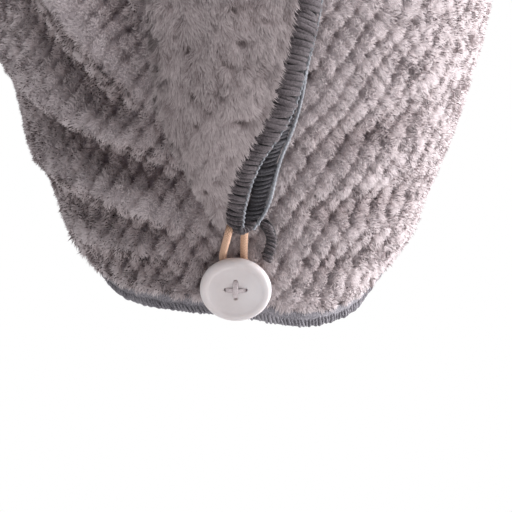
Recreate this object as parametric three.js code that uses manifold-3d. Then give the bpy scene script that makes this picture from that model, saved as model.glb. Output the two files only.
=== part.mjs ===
// A hair turban towel of thick waffle fleece, in the form that it has when it is worn: a hood that covers the
// head down to the nape, and a long folded tail that starts over the forehead, runs back over the crown and
// hooks onto a button at the nape with a loop of elastic cord.
// Units are millimetres. +Z is up and -Y is the back of the head. The origin is inside the crown, on the
// fleece, where the top of the head carries the towel.

import * as THREE from "three";
import { mergeVertices } from "three/addons/utils/BufferGeometryUtils.js";
import Module from "manifold-3d";

const wasm = await Module();
wasm.setup();

// Driving dimensions of the cloth
const fleece = 5; // thickness of the hood's cloth with its pile
const tailCloth = 4.6; // thickness of each layer of the tail
const crownToNape = 225; // height from the outside of the crown to the rim at the nape
const hoodWidth = 210;
const backDepth = 109; // from the head's axis to the back of the hood
const frontDepth = 108;
const foldHeight = 5; // how far the strongest fold stands out of the hood
const foldWidth = 8.5; // half the width of a drape fold, at its foot
const tailWidth = 66;
const tailDepth = 27; // how far the folded tail stands off what it lies on
const edgeWidth = 6; // overlocked edging of the tail
const rimEdgeWidth = 4.8; // overlocked edging of the rim
const edgeThickness = 3.2;
const rimEdgeHang = 3.9; // how far above the rim line the hood's cloth ends
const seamWidth = 4;
const seamHeight = 2.4;
const seamLift = 0.9; // over the smooth hood, clear of the small folds beside it

// Driving dimensions of the fastening
const buttonDiameter = 28;
const buttonThickness = 4.4;
const buttonLip = 3.3; // width of the raised lip
const buttonUp = 16.4; // height of the button's centre above the rim
const buttonSide = -1.7;
const holeDiameter = 2.2;
const holeSpread = 3.8; // from the button's centre to a hole's centre
const threadDiameter = 1.5;
const shankDiameter = 4;
const cordDiameter = 3;

const clearance = 0.3; // between pieces that touch
const edgeGap = 0.5; // between a cloth's cut edge and its edging
const openGap = 0.8; // between the tail's top layer and its under layer where they lie closest

// The hood's level rings from the crown down: how far down, and how far out at the side, back and front
const hoodRings = [
  { down: 0.0, side: 0.0, back: 0.0, front: 0.0 },
  { down: 0.022, side: 0.346, back: 0.335, front: 0.35 },
  { down: 0.09, side: 0.655, back: 0.645, front: 0.665 },
  { down: 0.2, side: 0.895, back: 0.885, front: 0.9 },
  { down: 0.34, side: 0.995, back: 0.985, front: 0.995 },
  { down: 0.41, side: 0.99, back: 1.0, front: 1.0 },
  { down: 0.5, side: 0.948, back: 0.99, front: 0.98 },
  { down: 0.6, side: 0.884, back: 0.945, front: 0.92 },
  { down: 0.68, side: 0.825, back: 0.885, front: 0.84 },
  { down: 0.764, side: 0.745, back: 0.803, front: 0.75 },
  { down: 0.853, side: 0.668, back: 0.7, front: 0.65 },
  { down: 0.95, side: 0.53, back: 0.58, front: 0.53 },
  { down: 1.02, side: 0.5, back: 0.51, front: 0.5 },
];

// The rim's height round the hood. At azimuth 0 it is at the nape and at 90 below the wearer's right ear.
const rimLine = [
  { azimuth: -180, down: 0.33 },
  { azimuth: -152, down: 0.36 },
  { azimuth: -125, down: 0.5 },
  { azimuth: -104, down: 0.74 },
  { azimuth: -88, down: 0.89 },
  { azimuth: -70, down: 0.95 },
  { azimuth: -35, down: 0.978 },
  { azimuth: 0, down: 0.995 },
  { azimuth: 27, down: 1.012 },
  { azimuth: 50, down: 0.995 },
  { azimuth: 70, down: 0.962 },
  { azimuth: 88, down: 0.9 },
  { azimuth: 104, down: 0.74 },
  { azimuth: 125, down: 0.5 },
  { azimuth: 152, down: 0.36 },
  { azimuth: 180, down: 0.33 },
];

// Drape folds, each on a curve through three places on the hood. A negative rise is a valley.
const drapeFolds = [
  { a0: -62, d0: 0.26, a1: -41, d1: 0.45, a2: -20, d2: 0.63, rise: 0.9, width: 1.15 },
  { a0: -42, d0: 0.26, a1: -30, d1: 0.42, a2: -24, d2: 0.56, rise: -1.0, width: 1.0 },
  { a0: -62, d0: 0.38, a1: -46, d1: 0.555, a2: -22, d2: 0.675, rise: -1.0, width: 1.0 },
  { a0: -80, d0: 0.44, a1: -54, d1: 0.61, a2: -18, d2: 0.705, rise: 1.0, width: 1.1 },
  { a0: -78, d0: 0.54, a1: -50, d1: 0.68, a2: -12, d2: 0.775, rise: -1.4, width: 1.1 },
  { a0: -82, d0: 0.67, a1: -50, d1: 0.755, a2: -14, d2: 0.845, rise: 1.0, width: 0.9 },
  { a0: -80, d0: 0.76, a1: -48, d1: 0.82, a2: -12, d2: 0.872, rise: -0.8, width: 0.7 },
  { a0: -80, d0: 0.84, a1: -48, d1: 0.868, a2: -16, d2: 0.9, rise: 0.6, width: 0.7 },
  { a0: -72, d0: 0.885, a1: -42, d1: 0.905, a2: -14, d2: 0.925, rise: -0.7, width: 0.6 },
  { a0: 12, d0: 0.7, a1: 32, d1: 0.68, a2: 60, d2: 0.62, rise: -0.4, width: 0.9 },
  { a0: 14, d0: 0.765, a1: 32, d1: 0.735, a2: 70, d2: 0.67, rise: 0.3, width: 1.0 },
  { a0: 12, d0: 0.8, a1: 34, d1: 0.81, a2: 66, d2: 0.75, rise: -0.5, width: 0.8 },
  { a0: 16, d0: 0.875, a1: 34, d1: 0.855, a2: 66, d2: 0.81, rise: 0.35, width: 0.8 },
  { a0: 14, d0: 0.9, a1: 32, d1: 0.905, a2: 56, d2: 0.86, rise: -0.45, width: 0.6 },
  { a0: 22, d0: 0.96, a1: 40, d1: 0.945, a2: 64, d2: 0.91, rise: 0.3, width: 0.7 },
];

// Gathers that fan out from the tail's root over the forehead. They are the same on both sides.
const gathers = [
  { a0: 163, d0: 0.27, a1: 142, d1: 0.31, a2: 112, d2: 0.42, rise: 0.7, width: 0.9 },
  { a0: 161, d0: 0.235, a1: 138, d1: 0.25, a2: 104, d2: 0.33, rise: -0.6, width: 0.8 },
  { a0: 158, d0: 0.19, a1: 132, d1: 0.19, a2: 96, d2: 0.25, rise: 0.7, width: 0.9 },
  { a0: 152, d0: 0.15, a1: 124, d1: 0.14, a2: 88, d2: 0.19, rise: -0.5, width: 0.8 },
];

// The tail from the forehead over the crown to its tip. turn is the angle about the head's cross axis: 0 is
// straight ahead, 90 the crown and 180 straight back. left is its folded side and right its open side.
// beyond is how much wider the under layer is than the top one, and cloth how thick the cloth is there.
const tailPath = [
  { turn: 15.5, left: -0.24, right: 0.2, beyond: -0.02, depth: 0.36, lift: 0.15, cloth: 0.7 },
  { turn: 18, left: -0.3, right: 0.27, beyond: -0.02, depth: 0.56, lift: 0.25, cloth: 0.9 },
  { turn: 22, left: -0.35, right: 0.33, beyond: -0.03, depth: 0.8, lift: 0.4, cloth: 1 },
  { turn: 28, left: -0.4, right: 0.38, beyond: -0.03, depth: 1.0, lift: 0.5, cloth: 1 },
  { turn: 38, left: -0.43, right: 0.4, beyond: -0.03, depth: 1.12, lift: 0.4, cloth: 1 },
  { turn: 60, left: -0.46, right: 0.42, beyond: -0.03, depth: 1.18, lift: 0.12, cloth: 1 },
  { turn: 90, left: -0.5, right: 0.42, beyond: -0.03, depth: 1.18, lift: 0.1, cloth: 1 },
  { turn: 130, left: -0.5, right: 0.41, beyond: -0.03, depth: 1.14, lift: 0.1, cloth: 1 },
  { turn: 165, left: -0.45, right: 0.36, beyond: -0.02, depth: 1.08, lift: 0.12, cloth: 1 },
  { turn: 180, left: -0.44, right: 0.3, beyond: 0.0, depth: 1.04, lift: 0.2, cloth: 1 },
  { turn: 190, left: -0.42, right: 0.235, beyond: 0.035, depth: 0.97, lift: 0.4, cloth: 1 },
  { turn: 199, left: -0.39, right: 0.165, beyond: 0.06, depth: 0.85, lift: 0.85, cloth: 1 },
  { turn: 207, left: -0.333, right: 0.065, beyond: 0.1, depth: 0.72, lift: 1, cloth: 1 },
  { turn: 212.5, left: -0.27, right: -0.03, beyond: 0.13, depth: 0.62, lift: 0.95, cloth: 0.95 },
  { turn: 217, left: -0.225, right: -0.065, beyond: 0.137, depth: 0.54, lift: 0.85, cloth: 0.9 },
  { turn: 220.5, left: -0.185, right: -0.075, beyond: 0.135, depth: 0.46, lift: 0.75, cloth: 0.8 },
  { turn: 223, left: -0.15, right: -0.085, beyond: 0.122, depth: 0.41, lift: 0.7, cloth: 0.7 },
  { turn: 225, left: -0.12, right: -0.088, beyond: 0.1, depth: 0.37, lift: 0.7, cloth: 0.6 },
  { turn: 227.5, left: -0.11, right: -0.09, beyond: 0.03, depth: 0.36, lift: 0.7, cloth: 0.6 },
];
const clothEnd = 225; // the turn where the tail's cloth ends
const edgeEnd = 226.6; // the turn where its edging ends
const cordStart = 227.1; // the turn where the loop comes out
const tableButtonTurn = 238.7; // the turn where the button is, in the same table

// Slanting creases of the twisted cloth over the crown, which die out before the tail goes down the back
const creases = { first: 20, last: 172, apart: 38, slant: 0.9, depth: 2.2 };

// The middle of the tail's cloth across one section, from the open side round the fold to the under layer
const tailSection = [
  { across: 1.0, up: 0.3 },
  { across: 0.87, up: 0.5 },
  { across: 0.7, up: 0.75 },
  { across: 0.5, up: 0.94 },
  { across: 0.33, up: 1.0 },
  { across: 0.17, up: 0.95 },
  { across: 0.07, up: 0.82 },
  { across: 0.015, up: 0.66 },
  { across: 0.0, up: 0.48 },
  { across: 0.02, up: 0.28 },
  { across: 0.08, up: 0.1 },
  { across: 0.2, up: 0.01 },
  { across: 0.45, up: 0.0 },
  { across: 0.72, up: 0.0 },
  { across: 1.0, up: 0.0 },
];
const topLayerRows = 5; // the section's rows that lie over the under layer

// The overlocked seam end that shows beside the loop: places on the hood, from under the tail to the button
const seamPath = [
  { side: 7.6, up: 39.5 },
  { side: 10.4, up: 37 },
  { side: 11.8, up: 33 },
  { side: 11.2, up: 28.5 },
  { side: 9.4, up: 24.5 },
];

// Fineness of the faceted surfaces
const backColumnStep = 4; // degrees between the hood's columns at the back, and at the front
const frontColumnStep = 10;
const backHalfAngle = 100;
const upperRows = 8;
const lowerRows = 18;
const upperShare = 0.66; // of the way down the hood's profile, in the coarse upper rows
const stationStep = 8; // degrees between the tail's sections

const headCentre = fleece - 0.444 * crownToNape; // height of the cross axis that the tail turns about
const rad = THREE.MathUtils.degToRad;
const { clamp, lerp } = THREE.MathUtils;

// A smooth curve through one column of a table, which never overshoots between two rows
function along(rows, key, column, at) {
  const last = rows.length - 1;
  if (at <= rows[0][key]) return rows[0][column];
  if (at >= rows[last][key]) return rows[last][column];
  const i = rows.findIndex((row, k) => k > 0 && at <= row[key]) - 1;
  const slope = (k) => (rows[k + 1][column] - rows[k][column]) / (rows[k + 1][key] - rows[k][key]);
  const tangent = (k) => {
    if (k === 0) return slope(0);
    if (k === last) return slope(last - 1);
    const before = slope(k - 1);
    const after = slope(k);
    return before * after <= 0 ? 0 : (2 * before * after) / (before + after);
  };
  const span = rows[i + 1][key] - rows[i][key];
  const t = (at - rows[i][key]) / span;
  const t2 = t * t;
  const t3 = t2 * t;
  return (
    (2 * t3 - 3 * t2 + 1) * rows[i][column] +
    (t3 - 2 * t2 + t) * span * tangent(i) +
    (3 * t2 - 2 * t3) * rows[i + 1][column] +
    (t3 - t2) * span * tangent(i + 1)
  );
}

// Rings are looked up by the square root of the way down, because the crown is round
const ringTable = hoodRings.map((ring) => ({ ...ring, reach: Math.sqrt(ring.down) }));

// The hood's smooth outside without folds: its distance from the head's axis at an azimuth and a drop
function hoodRadius(azimuth, drop) {
  const reach = Math.sqrt(Math.max(drop, 0) / crownToNape);
  const side = (hoodWidth / 2) * along(ringTable, "reach", "side", reach);
  const depth =
    Math.cos(azimuth) > 0
      ? backDepth * along(ringTable, "reach", "back", reach)
      : frontDepth * along(ringTable, "reach", "front", reach);
  if (side < 1e-6 || depth < 1e-6) return 0;
  return 1 / Math.hypot(Math.sin(azimuth) / side, Math.cos(azimuth) / depth);
}

function smoothPoint(azimuth, reach) {
  const drop = reach * reach * crownToNape;
  const radius = hoodRadius(azimuth, drop);
  return new THREE.Vector3(radius * Math.sin(azimuth), -radius * Math.cos(azimuth), fleece - drop);
}

// The outward direction of a surface given as a function of azimuth and reach
function normalOf(surface, azimuth, reach) {
  const r = Math.max(reach, 0.02);
  const round = surface(azimuth + 0.01, r).sub(surface(azimuth - 0.01, r));
  const down = surface(azimuth, r + 0.004).sub(surface(azimuth, r - 0.004));
  return down.cross(round).normalize();
}

// Every fold as points on the hood, in degrees and millimetres of drop
const foldLines = [
  ...drapeFolds,
  ...gathers,
  ...gathers.map((g) => ({ ...g, a0: -g.a0, a1: -g.a1, a2: -g.a2 })),
].map((fold) => {
  const steps = 8;
  const points = [];
  for (let k = 0; k <= steps; k++) {
    const t = k / steps;
    // The curve passes through the middle place half way along
    const weight = [(1 - t) * (1 - 2 * t), 4 * t * (1 - t), t * (2 * t - 1)];
    points.push({
      azimuth: weight[0] * fold.a0 + weight[1] * fold.a1 + weight[2] * fold.a2,
      drop: (weight[0] * fold.d0 + weight[1] * fold.d1 + weight[2] * fold.d2) * crownToNape,
    });
  }
  return { points, rise: fold.rise * foldHeight, width: fold.width * foldWidth };
});

// How far the folds lift the hood's surface at one place
function foldLift(azimuth, drop) {
  const radius = hoodRadius(azimuth, drop);
  let lift = 0;
  for (const { points, rise, width } of foldLines) {
    let nearest = Infinity;
    let share = 0;
    for (let k = 0; k + 1 < points.length; k++) {
      const a = points[k];
      const b = points[k + 1];
      const ax = (rad(a.azimuth) - azimuth) * radius;
      const bx = (rad(b.azimuth) - azimuth) * radius;
      const ay = a.drop - drop;
      const by = b.drop - drop;
      const lengthSq = (bx - ax) ** 2 + (by - ay) ** 2;
      const t = clamp(-(ax * (bx - ax) + ay * (by - ay)) / lengthSq, 0, 1);
      const distance = Math.hypot(lerp(ax, bx, t), lerp(ay, by, t));
      if (distance < nearest) {
        nearest = distance;
        share = (k + t) / (points.length - 1);
      }
    }
    const fade = Math.sin(Math.PI * clamp(share, 0.08, 0.92)) ** 0.5;
    lift += rise * fade * Math.exp(-((nearest / width) ** 2));
  }
  return lift;
}

function foldedPoint(azimuth, reach) {
  const drop = reach * reach * crownToNape;
  const lift = reach > 0.02 ? foldLift(azimuth, drop) : 0;
  return smoothPoint(azimuth, reach).addScaledVector(normalOf(smoothPoint, azimuth, reach), lift);
}

// Where the cloth ends at the rim: the edging hangs below it
function rimReach(azimuth) {
  const degrees = THREE.MathUtils.radToDeg(azimuth);
  const share = along(rimLine, "azimuth", "down", degrees);
  return Math.sqrt(share - rimEdgeHang / crownToNape);
}

// A closed body from a list of sections of as many points each, capped at both ends or joined in a ring
function loft(sections, ring) {
  const count = sections[0].length;
  const positions = sections.flat().flatMap((p) => [p.x, p.y, p.z]);
  const index = [];
  const bands = ring ? sections.length : sections.length - 1;
  for (let s = 0; s < bands; s++) {
    const here = s * count;
    const next = ((s + 1) % sections.length) * count;
    for (let k = 0; k < count; k++) {
      const k2 = (k + 1) % count;
      index.push(here + k, here + k2, next + k2, here + k, next + k2, next + k);
    }
  }
  if (!ring) {
    for (const [start, forward] of [[0, false], [(sections.length - 1) * count, true]]) {
      for (const [a, b, c] of capOf(sections[start / count])) {
        index.push(start + a, start + (forward ? b : c), start + (forward ? c : b));
      }
    }
  }
  const geometry = new THREE.BufferGeometry();
  geometry.setAttribute("position", new THREE.Float32BufferAttribute(positions, 3));
  geometry.setIndex(index);
  return facingOut(geometry);
}

// Triangles that fill a nearly flat section, which may be hollowed like a horseshoe
function capOf(section) {
  const centre = section.reduce((sum, p) => sum.add(p), new THREE.Vector3()).divideScalar(section.length);
  const normal = new THREE.Vector3();
  section.forEach((p, k) => {
    const q = section[(k + 1) % section.length];
    normal.add(p.clone().sub(centre).cross(q.clone().sub(centre)));
  });
  normal.normalize();
  const across = section[0].clone().sub(centre).projectOnPlane(normal).normalize();
  const up = normal.clone().cross(across);
  const flat = section.map((p) => {
    const d = p.clone().sub(centre);
    return new THREE.Vector2(d.dot(across), d.dot(up));
  });
  return THREE.ShapeUtils.triangulateShape(flat, []);
}

// Turns a body's faces round if they point inwards
function facingOut(geometry) {
  const p = geometry.attributes.position;
  const [a, b, c] = [new THREE.Vector3(), new THREE.Vector3(), new THREE.Vector3()];
  const index = [...geometry.index.array];
  let volume = 0;
  for (let i = 0; i < index.length; i += 3) {
    a.fromBufferAttribute(p, index[i]);
    b.fromBufferAttribute(p, index[i + 1]);
    c.fromBufferAttribute(p, index[i + 2]);
    volume += a.dot(b.cross(c));
  }
  if (volume < 0) {
    for (let i = 0; i < index.length; i += 3) [index[i + 1], index[i + 2]] = [index[i + 2], index[i + 1]];
    geometry.setIndex(index);
  }
  geometry.computeVertexNormals();
  return geometry;
}

// The azimuths of the hood's columns, in radians, closer together over the back
const columns = [];
for (let a = -backHalfAngle; a < backHalfAngle; a += backColumnStep) columns.push(rad(a));
for (let a = backHalfAngle; a < 360 - backHalfAngle; a += frontColumnStep) {
  columns.push(rad(a > 180 ? a - 360 : a));
}

// The hood's cloth: an outer and an inner wall, joined along the rim
function makeHood() {
  const rows = upperRows + lowerRows;
  const share = (row) =>
    row <= upperRows
      ? (upperShare * row) / upperRows
      : upperShare + ((1 - upperShare) * (row - upperRows)) / lowerRows;
  const walls = [[], []];
  const crown = smoothPoint(0, 0);
  const positions = [crown, crown.clone().setZ(crown.z - fleece)];
  for (let row = 1; row <= rows; row++) {
    walls.forEach((wall) => wall.push([]));
    for (const azimuth of columns) {
      const reach = share(row) * rimReach(azimuth);
      const outside = foldedPoint(azimuth, reach);
      const inside = outside.clone().addScaledVector(normalOf(foldedPoint, azimuth, reach), -fleece);
      walls[0][row - 1].push(positions.push(outside) - 1);
      walls[1][row - 1].push(positions.push(inside) - 1);
    }
  }
  const index = [];
  walls.forEach((wall, side) => {
    for (let c = 0; c < columns.length; c++) {
      const c2 = (c + 1) % columns.length;
      const face = (i, j, k) => (side === 0 ? index.push(i, j, k) : index.push(i, k, j));
      face(side, wall[0][c], wall[0][c2]);
      for (let row = 0; row + 1 < rows; row++) {
        face(wall[row][c], wall[row + 1][c], wall[row + 1][c2]);
        face(wall[row][c], wall[row + 1][c2], wall[row][c2]);
      }
    }
  });
  const [outer, inner] = walls.map((wall) => wall[rows - 1]);
  for (let c = 0; c < columns.length; c++) {
    const c2 = (c + 1) % columns.length;
    index.push(outer[c], inner[c], inner[c2], outer[c], inner[c2], outer[c2]);
  }
  const geometry = new THREE.BufferGeometry();
  geometry.setAttribute(
    "position",
    new THREE.Float32BufferAttribute(positions.flatMap((p) => [p.x, p.y, p.z]), 3),
  );
  geometry.setIndex(index);
  return facingOut(geometry);
}

// The overlocked edging that hangs on all round the rim
function makeRimEdge() {
  const sections = columns.map((azimuth) => {
    const reach = rimReach(azimuth);
    const normal = normalOf(foldedPoint, azimuth, reach);
    const outside = foldedPoint(azimuth, reach);
    const down = outside.clone().sub(foldedPoint(azimuth, reach - 0.01)).projectOnPlane(normal).normalize();
    const middle = outside.addScaledVector(normal, -fleece / 2);
    const corner = (far, out) =>
      middle
        .clone()
        .addScaledVector(down, edgeGap + far * rimEdgeWidth)
        .addScaledVector(normal, (out * edgeThickness) / 2);
    return [corner(0, 1), corner(1, 0.6), corner(1, -0.6), corner(0, -1)];
  });
  return loft(sections, true);
}

// The place on the smooth hood at a distance to the side and a turn about the head's cross axis
function placeOnHood(side, turn) {
  const inside = (reachOut) => {
    const y = reachOut * Math.cos(turn);
    const drop = fleece - (headCentre + reachOut * Math.sin(turn));
    if (drop <= 0) return false;
    return Math.hypot(side, y) < hoodRadius(Math.atan2(side, -y), drop);
  };
  let low = 0;
  let high = 2 * crownToNape;
  for (let k = 0; k < 40; k++) {
    const middle = (low + high) / 2;
    if (inside(middle)) low = middle;
    else high = middle;
  }
  return new THREE.Vector3(side, low * Math.cos(turn), headCentre + low * Math.sin(turn));
}

// A point at a height over the smooth hood
function overHood(side, turn, height) {
  const round = placeOnHood(side, turn + 0.01).sub(placeOnHood(side, turn - 0.01));
  const across = placeOnHood(side + 0.5, turn).sub(placeOnHood(side - 0.5, turn));
  const normal = round.cross(across).normalize();
  return placeOnHood(side, turn).addScaledVector(normal, height);
}

// The turn at which the hood's middle line is at a height above the rim
function turnAt(up) {
  const height = fleece - crownToNape + up;
  let low = rad(180);
  let high = rad(260);
  for (let k = 0; k < 40; k++) {
    const middle = (low + high) / 2;
    if (placeOnHood(0, middle).z > height) low = middle;
    else high = middle;
  }
  return low;
}

// The button's own frame: its centre over the nape, and the direction that it faces
const standOff = clearance * 3 + cordDiameter + threadDiameter;
const buttonTurn = turnAt(buttonUp);
const buttonSeat = overHood(buttonSide, buttonTurn, 0);
const buttonFacing = overHood(buttonSide, buttonTurn, 1).sub(buttonSeat).normalize();

// A turn of the tail's tables as an angle: the tail follows the button when the hood changes
const turned = (degrees) => (degrees / tableButtonTurn) * buttonTurn;

// The middle of the tail's cloth at one turn, as places across and heights over the hood
function tailMiddle(degrees) {
  const value = (column) => along(tailPath, "turn", column, degrees);
  const left = value("left") * tailWidth;
  const right = value("right") * tailWidth;
  const under = right + value("beyond") * tailWidth;
  const rest = value("lift") * foldHeight + clearance + tailCloth / 2;
  const rise = value("depth") * tailDepth - tailCloth;
  const topLow = tailCloth + openGap;
  const { first, last, apart, slant, depth } = creases;
  const fade = Math.sin(Math.PI * clamp((degrees - first) / (last - first), 0, 1));
  return tailSection.map(({ across, up }, row) => {
    const end = row < tailSection.length / 2 ? right : under;
    const wave = Math.cos(2 * Math.PI * (degrees / apart + slant * across));
    const crease = depth * fade * clamp(up * 2 - 1, 0, 1) * wave;
    const height = row < topLayerRows ? Math.max(up * rise, topLow) : up * rise;
    return new THREE.Vector2(lerp(left, end, across), rest + height + crease);
  });
}

// Both faces of the tail's cloth round one section
function tailOutline(degrees) {
  const middle = tailMiddle(degrees);
  const half = (along(tailPath, "turn", "cloth", degrees) * tailCloth) / 2;
  const faces = [1, -1].map((face) =>
    middle.map((p, k) => {
      const before = middle[Math.max(k - 1, 0)];
      const after = middle[Math.min(k + 1, middle.length - 1)];
      const way = after.clone().sub(before).normalize();
      return new THREE.Vector2(p.x + face * way.y * half, p.y - face * way.x * half);
    }),
  );
  return [...faces[0], ...faces[1].reverse()];
}

const tailTurns = [];
const narrowTurn = 200; // from here on the tail narrows fast, so its sections are closer
for (let turn = tailPath[0].turn; turn < narrowTurn; turn += stationStep) tailTurns.push(turn);
for (let turn = narrowTurn; turn < clothEnd; turn += stationStep / 2) tailTurns.push(turn);
tailTurns.push(clothEnd);

function makeTail() {
  return loft(
    tailTurns.map((turn) => tailOutline(turn).map((p) => overHood(p.x, turned(turn), p.y))),
    false,
  );
}

// The overlocked edging of the tail's top layer or under layer, which carries on the way its cloth goes
function tailEdgeSection(degrees, top) {
  const middle = tailMiddle(degrees);
  const under = middle[middle.length - 1];
  const [end, before] = top ? middle : [under, middle[middle.length - 2]];
  const out = end.clone().sub(before).normalize();
  const normal = new THREE.Vector2(-out.y, out.x);
  const outer = end.clone().addScaledVector(out, edgeGap + edgeWidth);
  if (top) outer.y = Math.max(outer.y, under.y + (tailCloth + edgeThickness) / 2 + openGap);
  const inner = end.clone().addScaledVector(out, edgeGap);
  return [
    [inner, 1],
    [outer, 0.7],
    [outer, -0.7],
    [inner, -1],
  ].map(([place, side]) => {
    const corner = place.clone().addScaledVector(normal, (side * edgeThickness) / 2);
    return overHood(corner.x, turned(degrees), corner.y);
  });
}

// The edging runs a little past the cloth at the tip, where both edges meet
const edgeTurns = [...tailTurns, edgeEnd];

function makeTailEdge(top) {
  return loft(
    edgeTurns.map((turn) => tailEdgeSection(turn, top)),
    false,
  );
}

// The short overlocked end of the seam beside the loop
function makeSeam() {
  const places = seamPath.map(({ side, up }) => ({ side, turn: turnAt(up) }));
  const sections = places.map((place, k) => {
    const before = places[Math.max(k - 1, 0)];
    const after = places[Math.min(k + 1, places.length - 1)];
    const way = overHood(after.side, after.turn, 0).sub(overHood(before.side, before.turn, 0)).normalize();
    const foot = overHood(place.side, place.turn, 0);
    const normal = overHood(place.side, place.turn, 1).sub(foot);
    const across = way.cross(normal).normalize();
    return [
      [-0.5, 0],
      [-0.5, 0.6],
      [-0.2, 1],
      [0.2, 1],
      [0.5, 0.6],
      [0.5, 0],
    ].map(([out, up]) =>
      foot
        .clone()
        .addScaledVector(across, out * seamWidth)
        .addScaledVector(normal, seamLift + up * seamHeight),
    );
  });
  return loft(sections, false);
}

// Places a piece that was made about its own Z axis, which is the way that the button faces
function ontoButton(mesh, height) {
  mesh.position.copy(buttonSeat).addScaledVector(buttonFacing, height);
  const right = new THREE.Vector3(1, 0, 0).projectOnPlane(buttonFacing).normalize();
  const up = buttonFacing.clone().cross(right);
  mesh.quaternion.setFromRotationMatrix(new THREE.Matrix4().makeBasis(right, up, buttonFacing));
  return mesh;
}

function solidOf(geometry) {
  const bare = geometry.clone();
  bare.deleteAttribute("normal");
  bare.deleteAttribute("uv");
  const merged = mergeVertices(bare, 1e-4);
  return new wasm.Manifold(
    new wasm.Mesh({
      numProp: 3,
      vertProperties: new Float32Array(merged.attributes.position.array),
      triVerts: new Uint32Array(merged.index.array),
    }),
  );
}

function geometryOf(solid) {
  const { vertProperties, triVerts } = solid.getMesh();
  const geometry = new THREE.BufferGeometry();
  geometry.setAttribute("position", new THREE.BufferAttribute(vertProperties, 3));
  geometry.setIndex(new THREE.BufferAttribute(triVerts, 1));
  geometry.computeVertexNormals();
  return geometry;
}

// A round bar along Z between two heights
function bar(diameter, low, high, segments) {
  return new THREE.CylinderGeometry(diameter / 2, diameter / 2, high - low, segments)
    .rotateX(Math.PI / 2)
    .translate(0, 0, (low + high) / 2);
}

const dishDepth = buttonThickness * 0.38;
const holePlaces = [0, 90, 180, 270].map((a) => [
  holeSpread * Math.cos(rad(a)),
  holeSpread * Math.sin(rad(a)),
]);

// The button: a round disc with a raised lip, a shallow dish and four holes
function makeButton() {
  const radius = buttonDiameter / 2;
  const dish = radius - buttonLip;
  const profile = [
    [0, 0],
    [radius * 0.86, 0],
    [radius * 0.965, buttonThickness * 0.16],
    [radius, buttonThickness * 0.45],
    [radius * 0.975, buttonThickness * 0.75],
    [radius * 0.91, buttonThickness * 0.95],
    [radius * 0.85, buttonThickness],
    [dish, buttonThickness * 0.88],
    [dish * 0.97, buttonThickness * 0.76],
    [dish * 0.6, buttonThickness - dishDepth * 0.85],
    [0, buttonThickness - dishDepth],
  ];
  const disc = new THREE.LatheGeometry(
    profile.map(([x, y]) => new THREE.Vector2(x, y)),
    32,
  ).rotateX(Math.PI / 2);
  let solid = solidOf(disc);
  for (const [x, y] of holePlaces) {
    solid = solid.subtract(solidOf(bar(holeDiameter, -1, buttonThickness + 1, 10).translate(x, y, 0)));
  }
  return geometryOf(solid);
}

// The sewing thread: a cross over the dish, four posts through the holes, and the shank behind
function makeThread() {
  const top = buttonThickness - dishDepth * 0.85 + clearance;
  const under = -clearance - threadDiameter;
  let solid = solidOf(bar(2 * holeSpread + threadDiameter, under, -clearance, 16));
  solid = solid.add(solidOf(bar(shankDiameter, clearance - standOff, under + 0.2, 12)));
  for (const [x, y] of holePlaces) {
    const post = bar(threadDiameter, -clearance - 0.2, top + threadDiameter / 2, 8);
    solid = solid.add(solidOf(post.translate(x, y, 0)));
  }
  const stitch = bar(threadDiameter, -holeSpread - threadDiameter / 3, holeSpread + threadDiameter / 3, 8);
  const flatStitch = stitch.rotateX(Math.PI / 2).translate(0, 0, top + threadDiameter / 2);
  solid = solid.add(solidOf(flatStitch));
  solid = solid.add(solidOf(flatStitch.clone().rotateZ(Math.PI / 2)));
  return geometryOf(solid);
}

// The loop of elastic cord: out of the tip on the left, round the shank behind the button, and back
function makeLoop() {
  const round = (shankDiameter + cordDiameter) / 2 + clearance;
  const height = clearance + cordDiameter / 2;
  const right = new THREE.Vector3(1, 0, 0).projectOnPlane(buttonFacing).normalize();
  const up = buttonFacing.clone().cross(right);
  const beside = (x, y, over) =>
    buttonSeat.clone().addScaledVector(right, x).addScaledVector(up, y).addScaledVector(buttonFacing, over);
  const tip = turned(cordStart);
  const [topEdge, underEdge] = [true, false].map((top) => {
    const [inner, outer, , low] = tailEdgeSection(edgeEnd, top);
    return { side: lerp(inner.x, outer.x, top ? 0.3 : 0.5), low, inner };
  });
  const tipHeight = (edge) => edge.low.clone().add(edge.inner).divideScalar(2);
  const start = overHood(topEdge.side, tip, 0);
  const end = overHood(underEdge.side, tip, 0);
  const lift = (place, edge) => {
    const normal = overHood(edge.side, tip, 1).sub(place).normalize();
    const over = tipHeight(edge).sub(place).dot(normal);
    return place.clone().addScaledVector(normal, Math.max(over, height));
  };
  const points = [
    lift(start, topEdge),
    beside(-round - 1.2, 13, height + 0.9),
    beside(-round - 1.0, 8.5, height),
    beside(-round - 0.4, 4, height),
  ];
  for (let a = 180; a <= 360; a += 30) {
    points.push(beside(round * Math.cos(rad(a)), round * Math.sin(rad(a)), height));
  }
  points.push(
    beside(round + 0.1, 4, height),
    beside(round - 0.4, 8.5, height),
    beside(round - 0.7, 13, height + 0.5),
    lift(end, underEdge),
  );
  const section = new THREE.Shape();
  section.absarc(0, 0, cordDiameter / 2, 0, 2 * Math.PI);
  return new THREE.ExtrudeGeometry(section, {
    extrudePath: new THREE.CatmullRomCurve3(points, false, "centripetal"),
    steps: 36,
    curveSegments: 4,
  });
}

const finish = (colour, roughness) =>
  new THREE.MeshStandardMaterial({ color: colour, roughness, metalness: 0 });
const fleeceFinish = finish(0xb5a9a6, 0.95);
const edgeFinish = finish(0x6b6b70, 0.85);
const buttonFinish = finish(0xe9e1df, 0.35);
const threadFinish = finish(0xcfc7c6, 0.8);
const cordFinish = finish(0xc79f78, 0.7);

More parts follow.
